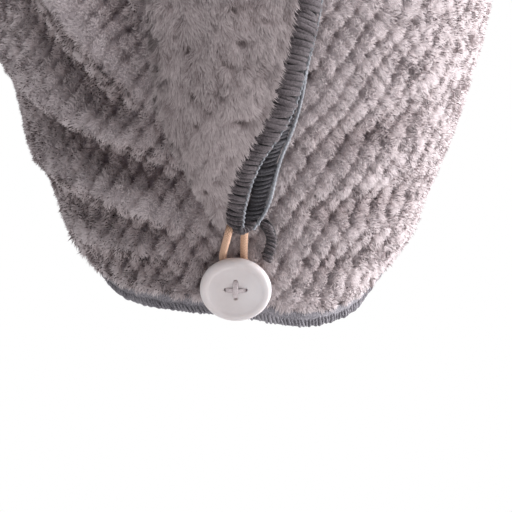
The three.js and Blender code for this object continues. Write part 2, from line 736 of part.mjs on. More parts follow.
const turban = new THREE.Group();
function addPiece(name, geometry, material) {
  const mesh = new THREE.Mesh(geometry, material);
  mesh.name = name;
  turban.add(mesh);
  return mesh;
}
addPiece("hood", makeHood(), fleeceFinish);
addPiece("rim_edge", makeRimEdge(), edgeFinish);
addPiece("tail", makeTail(), fleeceFinish);
addPiece("tail_edge_top", makeTailEdge(true), edgeFinish);
addPiece("tail_edge_under", makeTailEdge(false), edgeFinish);
addPiece("nape_seam", makeSeam(), edgeFinish);
addPiece("elastic_loop", makeLoop(), cordFinish);
ontoButton(addPiece("button", makeButton(), buttonFinish), standOff);
ontoButton(addPiece("button_thread", makeThread(), threadFinish), standOff);

export default turban;
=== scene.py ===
import math

import bmesh
import bpy
import numpy as np
from mathutils import Matrix, Vector, noise
from mathutils.bvhtree import BVHTree


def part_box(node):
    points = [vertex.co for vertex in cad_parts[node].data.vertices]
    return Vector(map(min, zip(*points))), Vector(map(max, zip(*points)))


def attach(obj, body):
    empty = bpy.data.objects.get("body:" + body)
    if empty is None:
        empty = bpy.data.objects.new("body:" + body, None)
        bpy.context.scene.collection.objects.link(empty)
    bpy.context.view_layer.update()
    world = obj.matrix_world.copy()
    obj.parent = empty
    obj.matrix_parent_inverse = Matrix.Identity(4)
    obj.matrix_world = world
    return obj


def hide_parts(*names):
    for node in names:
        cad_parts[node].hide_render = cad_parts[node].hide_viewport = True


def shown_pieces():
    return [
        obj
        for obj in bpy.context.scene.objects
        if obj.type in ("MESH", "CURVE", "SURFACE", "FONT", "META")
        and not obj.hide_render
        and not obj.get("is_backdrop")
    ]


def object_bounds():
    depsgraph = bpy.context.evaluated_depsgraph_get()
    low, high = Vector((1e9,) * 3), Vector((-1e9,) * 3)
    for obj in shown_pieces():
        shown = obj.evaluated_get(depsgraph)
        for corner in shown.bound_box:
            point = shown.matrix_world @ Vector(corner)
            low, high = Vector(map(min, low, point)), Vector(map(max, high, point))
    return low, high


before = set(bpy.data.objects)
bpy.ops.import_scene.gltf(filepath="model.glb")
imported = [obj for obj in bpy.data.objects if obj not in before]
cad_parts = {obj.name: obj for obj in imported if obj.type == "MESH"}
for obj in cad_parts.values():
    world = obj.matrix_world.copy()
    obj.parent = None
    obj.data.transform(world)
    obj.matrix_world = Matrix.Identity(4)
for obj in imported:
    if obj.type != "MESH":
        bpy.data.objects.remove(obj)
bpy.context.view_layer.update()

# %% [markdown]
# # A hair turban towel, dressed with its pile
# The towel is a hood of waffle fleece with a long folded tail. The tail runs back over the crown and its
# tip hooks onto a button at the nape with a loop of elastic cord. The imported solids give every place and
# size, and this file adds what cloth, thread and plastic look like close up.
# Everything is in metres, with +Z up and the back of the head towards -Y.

MM = 0.001

# %% [markdown]
# The camera looks level at the nape from behind, through a long lens, so that the towel keeps its true
# proportions. The lens is worked out for a square picture.

# %% Camera
camera_data = bpy.data.cameras.new("camera")
camera_data.sensor_width = 36
camera_data.lens = 216.9
camera_data.clip_end = 20
camera = bpy.data.objects.new("camera", camera_data)
camera.location = Vector((6.0, -1275.0, -194.4)) * MM
camera.rotation_euler = (math.radians(90), 0, 0)
bpy.context.scene.collection.objects.link(camera)
bpy.context.scene.camera = camera
print("camera at", tuple(round(v, 4) for v in camera.location))


# %% [markdown]
# Colours are written as the hex values that a screen shows, and one function turns them into the linear
# light that the shaders work in. A second function adds a node with its settings, its values and its links.

# %% Colours and nodes
def linear(hex_colour):
    """The linear colour that a screen shows as this hex value."""
    shares = [int(hex_colour[i : i + 2], 16) / 255 for i in (1, 3, 5)]
    return (*[s / 12.92 if s <= 0.04045 else ((s + 0.055) / 1.055) ** 2.4 for s in shares], 1.0)


def add_node(tree, kind, inputs=(), **settings):
    """Adds a node. Its inputs are in order or named, and each is a value, a node or a node's output."""
    node = tree.nodes.new(kind)
    for name, value in settings.items():
        setattr(node, name, value)
    for name, value in inputs.items() if isinstance(inputs, dict) else enumerate(inputs):
        if isinstance(value, bpy.types.Node):
            value = value.outputs[0]
        if isinstance(value, bpy.types.NodeSocket):
            tree.links.new(value, node.inputs[name])
        else:
            node.inputs[name].default_value = value
    return node


def set_values(node, values):
    """Sets plain numbers or colours on a node's own sockets."""
    for name, value in values.items():
        node.inputs[name].default_value = value


def new_material(name):
    """A material with its node tree, its empty shader and nothing else."""
    material = bpy.data.materials.new(name)
    material.use_nodes = True
    tree = material.node_tree
    return material, tree, tree.nodes["Principled BSDF"]


def paint(ramp, stops):
    """Gives a colour ramp its list of (share, hex colour), and returns its colour output."""
    while len(ramp.color_ramp.elements) < len(stops):
        ramp.color_ramp.elements.new(0.5)
    for element, (place, colour) in zip(ramp.color_ramp.elements, stops):
        element.position = place
        element.color = linear(colour)
    return ramp.outputs["Color"]


# %% [markdown]
# The fleece is knitted polyester microfibre whose pile was brushed up and cut. Its fibres scatter light, so
# it has no gloss, only a faint sheen where it is seen edge on. Deep between the fibres the light is
# swallowed, so painted shade makes the roots a darker and browner grey than the tips, and the dimples of
# the waffle darker still. Painted shade also darkens the folds' hollows and the cloth beside the tail,
# and painted light brightens the folds' crests. The tail's pile and ground get darker copies of these
# finishes, a painted shade over the whole tail.

# %% Fleece finishes
def fleece_material(name, dark, middle, light, bump):
    """Brushed polyester fleece, with painted shade in its creases, in its folds and at its roots."""
    material, tree, shader = new_material(name)
    place = add_node(tree, "ShaderNodeTexCoord").outputs["Object"]
    tip, tuft, tone, valley = [
        add_node(tree, "ShaderNodeAttribute", attribute_name=title).outputs["Fac"]
        for title in ("tip", "tuft", "tone", "valley")
    ]
    # Patches about 12 mm wide, where the pile was brushed up more or less, and small lumps of fibre
    patch = add_node(tree, "ShaderNodeTexNoise", {"Vector": place, "Scale": 1 / (12 * MM), "Detail": 3.0})
    lumps = add_node(tree, "ShaderNodeTexNoise", {"Vector": place, "Scale": 1 / (1.5 * MM), "Detail": 3.0})
    # Painted shade at the roots, from the tip value, and in the waffle's pits, from the tuft value
    rooted = add_node(tree, "ShaderNodeMath", [tip, 0.5, 0.55], operation="MULTIPLY_ADD")
    share = add_node(tree, "ShaderNodeMath", [rooted, tuft], operation="MULTIPLY")
    # Painted shade of the folds and of the tail darkens the colour, and on the fold crests it turns to
    # painted light
    for source, weight in ((tone, 0.15), (patch, 0.24), (lumps, 0.55), (valley, -0.72)):
        share = add_node(tree, "ShaderNodeMath", [source, weight, share], operation="MULTIPLY_ADD")
    share = add_node(tree, "ShaderNodeMath", [share, 0.375], operation="SUBTRACT", use_clamp=True)
    ramp = add_node(tree, "ShaderNodeValToRGB", [share])
    colour = paint(ramp, [(0.0, dark), (0.4, middle), (1.0, light)])
    tree.links.new(colour, shader.inputs["Base Color"])
    if bump:
        # Fibre ends, drawn coarser than microfibre so that they show
        fibre_size = 1.2 * MM
        fibres = {"Vector": place, "Scale": 1 / fibre_size, "Detail": 4.0}
        fibres = add_node(tree, "ShaderNodeTexNoise", fibres)
        relief = add_node(tree, "ShaderNodeBump", {"Height": fibres, "Distance": bump, "Strength": 0.8})
        tree.links.new(relief.outputs["Normal"], shader.inputs["Normal"])
    set_values(shader, {"Roughness": 0.92, "Specular IOR Level": 0.12})
    set_values(shader, {"Sheen Weight": 0.3, "Sheen Roughness": 0.6})
    return material


pile_finish = fleece_material("polyester microfibre pile, brushed", "#6B5A58", "#B4A5A4", "#E4DADA", 0)
# The tail's pile is a darker copy of the hood's, a painted shade over the whole tail
shaded_tail_pile_finish = fleece_material("polyester microfibre pile, combed, in painted shade", "#5D4F4D", "#988B8A", "#C5BAB9", 0)
knit_relief = 0.4 * MM
cloth_finish = fleece_material(
    "polyester fleece ground, knitted", "#63565A", "#A4999A", "#D2C8CA", knit_relief
)
# A darker copy of the ground's finish, a painted shade for the tail
shaded_tail_ground_finish = fleece_material(
    "polyester fleece ground under combed pile, in painted shade", "#544846", "#897E7D", "#B4ABAB", knit_relief
)
print("fleece finishes:", pile_finish.name, "|", cloth_finish.name)


# %% [markdown]
# Each soft piece starts as a copy of its solid. The copy's doubles are merged, a subdivision surface rounds
# its facets, and a voxel remesh gives it small even squares, so that the waffle can be pressed into it.

# %% Copies of the solids
def link(name, mesh):
    """A new object at the origin that shows this mesh."""
    mesh.name = name
    piece = bpy.data.objects.new(name, mesh)
    bpy.context.scene.collection.objects.link(piece)
    return piece


def evaluated(piece):
    """The piece's mesh with all its modifiers applied."""
    bpy.context.view_layer.update()
    depsgraph = bpy.context.evaluated_depsgraph_get()
    return bpy.data.meshes.new_from_object(piece.evaluated_get(depsgraph))


def rounded_copy(node, name, voxel):
    """The CAD node's form with its facets rounded, in squares of the voxel's size."""
    form = bmesh.new()
    form.from_mesh(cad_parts[node].data)
    bmesh.ops.remove_doubles(form, verts=form.verts, dist=1e-6)
    bmesh.ops.join_triangles(
        form, faces=form.faces, angle_face_threshold=0.7, angle_shape_threshold=1.2
    )
    mesh = bpy.data.meshes.new(name)
    form.to_mesh(mesh)
    form.free()
    rough = link(name + "_rough", mesh)
    smooth = rough.modifiers.new("rounding", "SUBSURF")
    smooth.levels = smooth.render_levels = 2
    squares = rough.modifiers.new("squares", "REMESH")
    squares.mode = "VOXEL"
    squares.voxel_size = voxel
    squares.use_smooth_shade = True
    piece = link(name, evaluated(rough))
    bpy.data.objects.remove(rough)
    print(name, len(piece.data.polygons), "faces")
    return piece


hood_square = 2.6 * MM
tail_square = 1.9 * MM
hood = rounded_copy("hood", "hood_cloth", hood_square)
tail = rounded_copy("tail", "tail_cloth", tail_square)


# %% [markdown]
# A few helpers read and write a mesh as arrays: places, normals and named values on its points.

# %% Meshes as arrays
def places_of(mesh):
    """The mesh's points, one row each."""
    values = np.empty(len(mesh.vertices) * 3)
    mesh.vertices.foreach_get("co", values)
    return values.reshape(-1, 3)


def normals_of(mesh):
    """The normals at the mesh's points, one row each."""
    values = np.empty(len(mesh.vertices) * 3)
    mesh.vertex_normals.foreach_get("vector", values)
    return values.reshape(-1, 3)


def write_places(mesh, places):
    """Moves the mesh's points to these places."""
    mesh.vertices.foreach_set("co", places.ravel())
    mesh.update()


def write_values(mesh, name, values):
    """Keeps one number or one vector for each point of the mesh under a name."""
    kind, field = ("FLOAT", "value") if values.ndim == 1 else ("FLOAT_VECTOR", "vector")
    attribute = mesh.attributes.get(name) or mesh.attributes.new(name, kind, "POINT")
    attribute.data.foreach_set(field, values.astype(np.float32).ravel())


def unit(vectors):
    """The same vector or rows of vectors, each with a length of 1."""
    return vectors / np.maximum(np.linalg.norm(vectors, axis=-1, keepdims=True), 1e-12)


def smooth_noise(places, size, seed):
    """Smooth noise from about -1 to 1, whose lumps are about this size, at each place."""
    shift = Vector((seed * 7.31, seed * 3.77, seed * 5.19))
    return np.array([noise.noise(Vector(p) / size + shift) for p in places])


def noise_vectors(places, size, seed):
    """Smooth noise with three numbers at each place."""
    return np.stack([smooth_noise(places, size, seed + k) for k in range(3)], axis=1)


# %% [markdown]
# The waffle is knitted: rows of knobs run slantwise, with a crease between the rows, a smaller crease
# between the knobs, and a deep pit at each corner where the ground of the knit shows. The rows are counted
# across and along the cloth, and a little noise pulls them out of line as use and washing do.

# %% The waffle
hood_waffle = {"Rows": 6.8 * MM, "Knobs": 5.8 * MM, "Row Depth": 0.42, "Knob Depth": 0.2, "Pit Depth": 0.38}
tail_waffle = {"Rows": 9.4 * MM, "Knobs": 8.2 * MM, "Row Depth": 0.1, "Knob Depth": 0.08, "Pit Depth": 0.7}
# The higher this power, the narrower the creases
crease_power = 6.5


def waffle(across, along, form):
    """0 in the pits and near 1 on the knobs."""
    row = np.abs(np.cos((across + along) * math.pi / (math.sqrt(2) * form["Rows"]))) ** crease_power
    knob = np.abs(np.cos((across - along) * math.pi / (math.sqrt(2) * form["Knobs"]))) ** crease_power
    return 1 - form["Row Depth"] * row - form["Knob Depth"] * knob - form["Pit Depth"] * row * knob


def waffle_slope(across, along, form):
    """How steeply the waffle rises across and along the cloth, for a depth of 1."""
    step = 0.2 * MM
    there = waffle(across + step, along, form) - waffle(across - step, along, form)
    down = waffle(across, along + step, form) - waffle(across, along - step, form)
    return np.stack([there, down], axis=1) / (2 * step)


head_centre = np.array([0.0, 0.0, -94.9]) * MM
# Angles about the head's centre become lengths along the cloth with these radii
hood_reach = 84 * MM
tail_reach = 125 * MM


def hood_lattice(places):
    """Places across and along the hood's cloth, and both ways as vectors. Across starts at the back, and
    along is shortened, because the worn cloth is pulled up so that its rows stand steeper."""
    azimuth = np.arctan2(places[:, 0], -places[:, 1])
    radius = np.hypot(places[:, 0], places[:, 1])
    polar = np.arctan2(radius, places[:, 2] - head_centre[2])
    across = azimuth * radius
    along = polar * hood_reach
    side = np.stack([np.cos(azimuth), np.sin(azimuth), np.zeros_like(azimuth)], axis=1)
    outward = np.stack([np.sin(azimuth), -np.cos(azimuth), np.zeros_like(azimuth)], axis=1)
    down = outward * np.cos(polar)[:, None] - np.array([0, 0, 1.0]) * np.sin(polar)[:, None]
    return across, along, side, down


def tail_lattice(places):
    """The same for the tail, which turns about the head's cross axis. Along runs to its tip."""
    from_axis = places - head_centre
    turn = np.arctan2(from_axis[:, 2], from_axis[:, 1])
    turn = np.where(turn < -math.pi / 2, turn + 2 * math.pi, turn)
    radius = np.hypot(from_axis[:, 1], from_axis[:, 2])
    across = places[:, 0] + radius
    along = turn * tail_reach
    side = np.tile(np.array([1.0, 0.0, 0.0]), (len(places), 1))
    down = np.stack([np.zeros_like(turn), -np.sin(turn), np.cos(turn)], axis=1)
    return across, along, side, down


print("lattices ready")

# %% [markdown]
# The worn cloth hangs in folds. Each fold's crest is drawn up a little more than on the solid, and on the
# left it sags down over the hollow below it, because the heavy cloth hangs from the tail. Light hardly
# reaches the hollows, so painted shade is kept for each place: darkest just under each crest and along the
# hollows, and below zero on the crests, where it is painted light.

# %% Folds and the ground of the pile
# Crests, and valleys with a negative height: azimuth and share of the way down, at three places
fold_places = [
    ((-62, 0.26), (-41, 0.45), (-20, 0.63), 1.0),
    ((-42, 0.26), (-30, 0.42), (-24, 0.56), -0.9),
    ((-62, 0.38), (-46, 0.555), (-22, 0.675), -1.0),
    ((-80, 0.44), (-54, 0.61), (-18, 0.705), 1.0),
    ((-78, 0.54), (-50, 0.68), (-12, 0.775), -1.2),
    ((-82, 0.67), (-50, 0.755), (-14, 0.845), 0.9),
    ((-80, 0.76), (-48, 0.82), (-12, 0.872), -0.8),
    ((-80, 0.84), (-48, 0.868), (-16, 0.9), 0.6),
    ((-72, 0.885), (-42, 0.905), (-14, 0.925), -0.6),
    ((12, 0.7), (32, 0.68), (60, 0.62), -0.7),
    ((12, 0.8), (34, 0.81), (66, 0.75), -0.9),
    ((14, 0.9), (32, 0.905), (56, 0.86), -0.8),
]
crown_to_nape = 225 * MM
fold_rise = 2.8 * MM
fold_half_width = 5.2 * MM
fold_fade = 22 * MM


def sag_way(side, down):
    """The slanting way, down and to the left, in which the folds on the left sag."""
    return down * 0.8 - side * 0.6


def solid_tree(*nodes):
    """Looks up places and rays on CAD nodes."""
    corners, faces = [], []
    for node in nodes:
        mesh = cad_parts[node].data
        faces += [[i + len(corners) for i in p.vertices] for p in mesh.polygons]
        corners += [v.co.copy() for v in mesh.vertices]
    return BVHTree.FromPolygons(corners, faces)


def on_hood(shape, azimuth, down):
    """The place on the hood's outside at an azimuth and a share of the way down."""
    way = Vector((math.sin(math.radians(azimuth)), -math.cos(math.radians(azimuth)), 0))
    centre = Vector((0, 0, 5 * MM - down * crown_to_nape))
    return shape.ray_cast(centre + way * 0.3, -way)[0] or centre + way * 0.1


def fold_relief(places, side, down):
    """How far the folds lift each place, and its painted shade under the crest above, with painted light on
    the crests, both as shares.
    """
    shape = solid_tree("hood")
    lift, shade = np.zeros(len(places)), np.zeros(len(places))
    for first, middle, last, height in fold_places:
        line = []
        for t in np.linspace(0, 1, 9):
            weight = ((1 - t) * (1 - 2 * t), 4 * t * (1 - t), t * (2 * t - 1))
            spot = [sum(w * q[k] for w, q in zip(weight, (first, middle, last))) for k in (0, 1)]
            line.append(tuple(on_hood(shape, *spot)))
        line = np.array(line)
        apart, nearest = distance_to(places, line, True)
        ends = np.minimum(*[np.linalg.norm(places - line[k], axis=1) for k in (0, -1)])
        share = height * np.clip(ends / fold_fade, 0, 1)
        lift += share * np.exp(-((apart / fold_half_width) ** 2))
        if height > 0:
            below = ((places - nearest) * sag_way(side, down)).sum(axis=1)
            dark = np.clip(below / (2.5 * MM), 0, 1) * np.exp(-np.clip(below, 0, None) / (10 * MM))
            shade += share * dark * np.exp(-((apart / (24 * MM)) ** 2))
        else:
            shade -= 0.5 * share * np.exp(-((apart / (6 * MM)) ** 2))
    return lift, np.clip(shade, 0, 1) - 0.3 * np.clip(lift, 0, 1)


def distance_to(places, route, with_places=False):
    """How far each place is from a line through the route's points, and the nearest places on it."""
    route = np.array(route)
    nearest = np.full(len(places), np.inf)
    spots = np.zeros_like(places)
    for a, b in zip(route[:-1], route[1:]):
        way = b - a
        share = np.clip(((places - a) @ way) / (way @ way), 0, 1)
        spot = a + share[:, None] * way
        apart = np.linalg.norm(places - spot, axis=1)
        spots = np.where((apart < nearest)[:, None], spot, spots)
        nearest = np.minimum(nearest, apart)
    return (nearest, spots) if with_places else nearest


def edges_of(mesh):
    """The two point numbers of each edge."""
    values = np.empty(len(mesh.edges) * 2, dtype=np.int64)
    mesh.edges.foreach_get("vertices", values)
    return values.reshape(-1, 2)


def blurred(mesh, values, passes):
    """Values on the mesh's points, each pass averaged with the neighbours'."""
    edges = edges_of(mesh)
    count = np.bincount(edges.ravel(), minlength=len(values)).astype(float)
    shape = (-1,) + (1,) * (values.ndim - 1)
    for _ in range(passes):
        total = np.zeros_like(values)
        for a, b in ((0, 1), (1, 0)):
            if values.ndim == 1:
                total += np.bincount(edges[:, a], weights=values[edges[:, b]], minlength=len(values))
            else:
                for k in range(values.shape[1]):
                    total[:, k] += np.bincount(
                        edges[:, a], weights=values[edges[:, b], k], minlength=len(values)
                    )
        values = (values + total / np.maximum(count, 1).reshape(shape)) / 2
    return values


def near_edging(node):
    """A share that falls to 0.1 where the cloth meets its edging, so that no gap opens there."""
    edge = solid_tree(node)
    return lambda places: np.array(
        [min(max((edge.find_nearest(Vector(p))[3] - 1 * MM) / (5 * MM), 0.1), 1.0) for p in places]
    )


def lay_ground(cloth, lattice, inset, lift, sag, wander, keep, folds, faces_out):
    """Lowers the cloth by the inset to the ground of its pile, and lifts and sags its folds. The waffle's
    lines wander by up to the last length. Returns what it worked out as arrays."""
    mesh = cloth.data
    places = places_of(mesh)
    normals = unit(blurred(mesh, normals_of(mesh), 3))
    across, along, side, down = lattice(places)
    lift_share, valley = folds(places, side, down)
    rise = lift_share * fold_rise
    near = keep(places)
    crest = rise * near
    # 1 on the outer face and -1 on the inner one, so that the folds carry both faces with them
    outward = np.clip(blurred(mesh, faces_out(places, normals), 3), -1, 1)
    outer = np.clip(outward, 0, 1)
    on_the_left = np.clip(-places[:, :1] / (20 * MM), 0, 1)
    moved = places + normals * (crest * lift * outward - inset * near * outer)[:, None]
    moved += sag_way(side, down) * on_the_left * (np.clip(crest, 0, None) * sag)[:, None]
    write_places(mesh, moved)
    pull = noise_vectors(places, 16 * MM, 11) * wander
    strength = 0.85 + 0.35 * smooth_noise(places, 22 * MM, 8) + 0.5 * smooth_noise(places, 6 * MM, 9)
    strength = np.clip(strength + 0.3 * valley - 0.45 * np.clip(lift_share, 0, 1), 0.25, 1.25)
    # Towards the right side of the head the cloth is stretched, which flattens its waffle
    strength *= 1 - 0.4 * np.clip((places[:, 0] - 35 * MM) / (45 * MM), 0, 1)
    arrays = {
        "places": moved,
        "normals": normals,
        "across": across + pull[:, 0],
        "along": along + pull[:, 1],
        "strength": strength * (0.3 + 0.7 * near),
        "valley": valley,
        "side": side,
        "down": down,
        "rise": rise,
        "outer": outer,
    }
    for name in ("across", "along", "strength", "valley"):
        write_values(mesh, name, arrays[name])
    return arrays


def hood_faces_out(places, normals):
    """1 where the hood's cloth faces away from the head, and -1 inside."""
    from_centre = unit(places - head_centre)
    return np.clip((from_centre * normals).sum(axis=1) * 4, -1, 1)


def tail_faces_out(places, normals):
    """1 on the tail's outer face. Its other faces keep still."""
    shape = solid_tree("tail", "hood")
    clear = [
        shape.ray_cast(Vector(p) + Vector(n) * 1.5 * MM, Vector(n), 0.05)[0] is None
        for p, n in zip(places, normals)
    ]
    from_axis = unit((places - head_centre) * np.array([0, 1.0, 1.0]))
    facing = (from_axis * normals).sum(axis=1)
    return np.where(np.array(clear) & (facing > -0.35), 1.0, 0.0)


def tail_relief(places, side, down):
    """The tail only has soft lengthwise swells, and tufts that brushing left, with painted shade in their
    hollows and a little all over.
    """
    swell = smooth_noise(places * np.array([1.6, 0.7, 0.7]), 17 * MM, 13) * 0.5
    tufts = smooth_noise(places * np.array([1.2, 0.8, 0.8]), 5 * MM, 14)
    return swell + 0.8 * tufts, 0.05 + np.clip(-swell - 0.8 * tufts, 0, 0.45)


hood_ground = lay_ground(
    hood,
    hood_lattice,
    inset=1.6 * MM,
    lift=1.0,
    sag=0.9,
    wander=2.5 * MM,
    keep=near_edging("rim_edge"),
    folds=fold_relief,
    faces_out=hood_faces_out,
)
tail_ground = lay_ground(
    tail,
    tail_lattice,
    inset=1.9 * MM,
    lift=0.5,
    sag=0.0,
    wander=3.4 * MM,
    keep=near_edging("tail_edge_top"),
    folds=tail_relief,
    faces_out=tail_faces_out,
)
# Painted shadow of the tail on the hood's cloth beside its left side
tail_shape = solid_tree("tail")
to_tail = np.array([tail_shape.find_nearest(Vector(p))[3] for p in hood_ground["places"]])
beside = np.exp(-np.clip(to_tail - 2 * MM, 0, None) / (6 * MM)) * (hood_ground["places"][:, 0] < 4 * MM)
hood_ground["valley"] += 0.8 * beside
write_values(hood.data, "valley", hood_ground["valley"])
# Brushing has closed many of the tail's pits
tail_ground["strength"] *= np.clip(0.55 + 1.3 * smooth_noise(tail_ground["places"], 12 * MM, 15), 0, 1.2)
write_values(tail.data, "strength", tail_ground["strength"])
for name, ground in (("hood", hood_ground), ("tail", tail_ground)):
    print(name, "folds rise and fall, mm", np.round(np.percentile(ground["rise"], [1, 25, 75, 99]) / MM, 2))


# %% [markdown]
# Pile could be hair particles, but those don't export. Geometry Nodes strew points over the cloth, lower
# them in the pits of the waffle, and put a small pointed strand on each one. A strand stands for a wisp of
# microfibres, drawn coarser than a single fibre so that it shows.

# %% The pile's node tree
def new_tree(name, inputs):
    """A geometry node tree with named inputs, and its input and output nodes."""
    tree = bpy.data.node_groups.new(name, "GeometryNodeTree")
    tree.interface.new_socket("Geometry", in_out="INPUT", socket_type="NodeSocketGeometry")
    for title, kind in inputs:
        tree.interface.new_socket(title, in_out="INPUT", socket_type=kind)
    tree.interface.new_socket("Geometry", in_out="OUTPUT", socket_type="NodeSocketGeometry")
    return tree, add_node(tree, "NodeGroupInput").outputs, add_node(tree, "NodeGroupOutput")


def run_tree(piece, tree, values):
    """The mesh that the tree makes from the piece with these named values."""
    modifier = piece.modifiers.new("nodes", "NODES")
    modifier.node_group = tree
    for item in tree.interface.items_tree:
        if item.in_out == "INPUT" and item.name in values:
            modifier[item.identifier] = values[item.name]
    mesh = evaluated(piece)
    piece.modifiers.clear()
    return mesh


number_inputs = [
    (title, "NodeSocketFloat")
    for title in (
        "Density", "Length", "Width", "Curl", "Lean", "Scatter", "Mound",
        "Rows", "Knobs", "Row Depth", "Knob Depth", "Pit Depth",
    )
]
pile_tree, given, pile_end = new_tree(
    "pile strands",
    [
        *number_inputs,
        ("Segments", "NodeSocketInt"),
        ("Seed", "NodeSocketInt"),
        ("Material", "NodeSocketMaterial"),
    ],
)
# One strand: a strip that narrows to a point and bends over
strip = add_node(
    pile_tree,
    "GeometryNodeMeshGrid",
    {"Vertices X": 2, "Vertices Y": given["Segments"], "Size X": 1.0, "Size Y": 1.0},
)
strip_place = add_node(pile_tree, "GeometryNodeInputPosition")
strip_place = add_node(pile_tree, "ShaderNodeSeparateXYZ", [strip_place]).outputs
up = add_node(pile_tree, "ShaderNodeMath", [strip_place["Y"], 0.5], operation="ADD")
up_squared = add_node(pile_tree, "ShaderNodeMath", [up, up], operation="MULTIPLY")
taper = add_node(pile_tree, "ShaderNodeMath", [1.0, up_squared], operation="SUBTRACT")
widest = [strip_place["X"], given["Width"]]
widest = add_node(pile_tree, "ShaderNodeMath", widest, operation="MULTIPLY")
wide = add_node(pile_tree, "ShaderNodeMath", [widest, taper], operation="MULTIPLY")
high = add_node(pile_tree, "ShaderNodeMath", [up, given["Length"]], operation="MULTIPLY")
bend = add_node(pile_tree, "ShaderNodeMath", [up_squared, given["Curl"]], operation="MULTIPLY")
strand_place = add_node(pile_tree, "ShaderNodeCombineXYZ", [wide, bend, high])
marked = add_node(
    pile_tree,
    "GeometryNodeStoreNamedAttribute",
    {"Geometry": strip, "Name": "tip", "Value": up},
    data_type="FLOAT",
    domain="POINT",
)
bent = add_node(pile_tree, "GeometryNodeSetPosition", {"Geometry": marked, "Position": strand_place})
pointed = add_node(pile_tree, "GeometryNodeMergeByDistance", {"Geometry": bent, "Distance": 1e-6})
strand = add_node(pile_tree, "GeometryNodeFlipFaces", {"Mesh": pointed})
# Points over the cloth, thinner where the cover value is low
across, along, cover, strength, stature = [
    add_node(pile_tree, "GeometryNodeInputNamedAttribute", {"Name": title}, data_type="FLOAT")
    for title in ("across", "along", "cover", "strength", "stature")
]
density = add_node(pile_tree, "ShaderNodeMath", [cover, given["Density"]], operation="MULTIPLY")
strewn = add_node(
    pile_tree,
    "GeometryNodeDistributePointsOnFaces",
    {"Mesh": given["Geometry"], 4: density, "Seed": given["Seed"]},
)
# The waffle's height at each point. Its rows run at 45 degrees to the cloth
creases = []
for operation, pitch in (("ADD", "Rows"), ("SUBTRACT", "Knobs")):
    slantwise = add_node(pile_tree, "ShaderNodeMath", [across, along], operation=operation)
    count = add_node(pile_tree, "ShaderNodeMath", [slantwise, given[pitch]], operation="DIVIDE")
    angle = add_node(pile_tree, "ShaderNodeMath", [count, math.pi / math.sqrt(2)], operation="MULTIPLY")
    wave = add_node(pile_tree, "ShaderNodeMath", [angle], operation="COSINE")
    height = add_node(pile_tree, "ShaderNodeMath", [wave], operation="ABSOLUTE")
    creases.append(add_node(pile_tree, "ShaderNodeMath", [height, crease_power], operation="POWER"))
crossing = add_node(pile_tree, "ShaderNodeMath", creases, operation="MULTIPLY")
sunk = add_node(pile_tree, "ShaderNodeMath", [crossing, given["Pit Depth"]], operation="MULTIPLY")
for crease, depth in zip(reversed(creases), ("Knob Depth", "Row Depth")):
    sunk = add_node(pile_tree, "ShaderNodeMath", [crease, given[depth], sunk], operation="MULTIPLY_ADD")
sunk = add_node(pile_tree, "ShaderNodeMath", [sunk, strength], operation="MULTIPLY")
tuft = add_node(pile_tree, "ShaderNodeMath", [1.0, sunk], operation="SUBTRACT", use_clamp=True)
# The strand's way: the cloth's normal, the comb, and a random share
comb = add_node(pile_tree, "GeometryNodeInputNamedAttribute", {"Name": "comb"}, data_type="FLOAT_VECTOR")
leaning = add_node(pile_tree, "ShaderNodeVectorMath", {0: comb, "Scale": given["Lean"]}, operation="SCALE")
any_way = add_node(
    pile_tree,
    "FunctionNodeRandomValue",
    {0: (-1.0, -1.0, -1.0), 1: (1.0, 1.0, 1.0), "Seed": 3},
    data_type="FLOAT_VECTOR",
)
scatter = {0: any_way, "Scale": given["Scatter"]}
strayed = add_node(pile_tree, "ShaderNodeVectorMath", scatter, operation="SCALE")
normal = strewn.outputs["Normal"]
upright = add_node(pile_tree, "ShaderNodeVectorMath", [normal, leaning], operation="ADD")
way = add_node(pile_tree, "ShaderNodeVectorMath", [upright, strayed], operation="ADD")
aligned = add_node(
    pile_tree,
    "FunctionNodeAxesToRotation",
    {"Primary Axis": way, "Secondary Axis": normal},
    primary_axis="Z",
    secondary_axis="Y",
)
spin, size, tone = [
    add_node(pile_tree, "FunctionNodeRandomValue", span, data_type="FLOAT").outputs[1]
    for span in (
        {2: -0.6, 3: 0.6, "Seed": 5},
        {2: 0.7, 3: 1.25, "Seed": 6},
        {2: -1.0, 3: 1.0, "Seed": 7},
    )
]
spin_about = add_node(pile_tree, "ShaderNodeCombineXYZ", {"Z": spin})
turned = add_node(
    pile_tree,
    "FunctionNodeRotateRotation",
    {"Rotation": aligned, "Rotate By": spin_about},
    rotation_space="LOCAL",
)
tuft_size = add_node(pile_tree, "ShaderNodeMath", [tuft, 0.5, 0.5], operation="MULTIPLY_ADD")
grown = add_node(pile_tree, "ShaderNodeMath", [size, tuft_size], operation="MULTIPLY")
grown = add_node(pile_tree, "ShaderNodeMath", [grown, stature], operation="MULTIPLY")
# Each strand keeps a tone of its own, the waffle's height, which also gives painted shade in the pits, and
# the cloth's normal
kept = strewn
for title, value, kind in (
    ("tone", tone, "FLOAT"),
    ("tuft", tuft, "FLOAT"),
    ("ground", normal, "FLOAT_VECTOR"),
):
    kept = add_node(
        pile_tree,
        "GeometryNodeStoreNamedAttribute",
        {"Geometry": kept, "Name": title, "Value": value},
        data_type=kind,
        domain="POINT",
    )
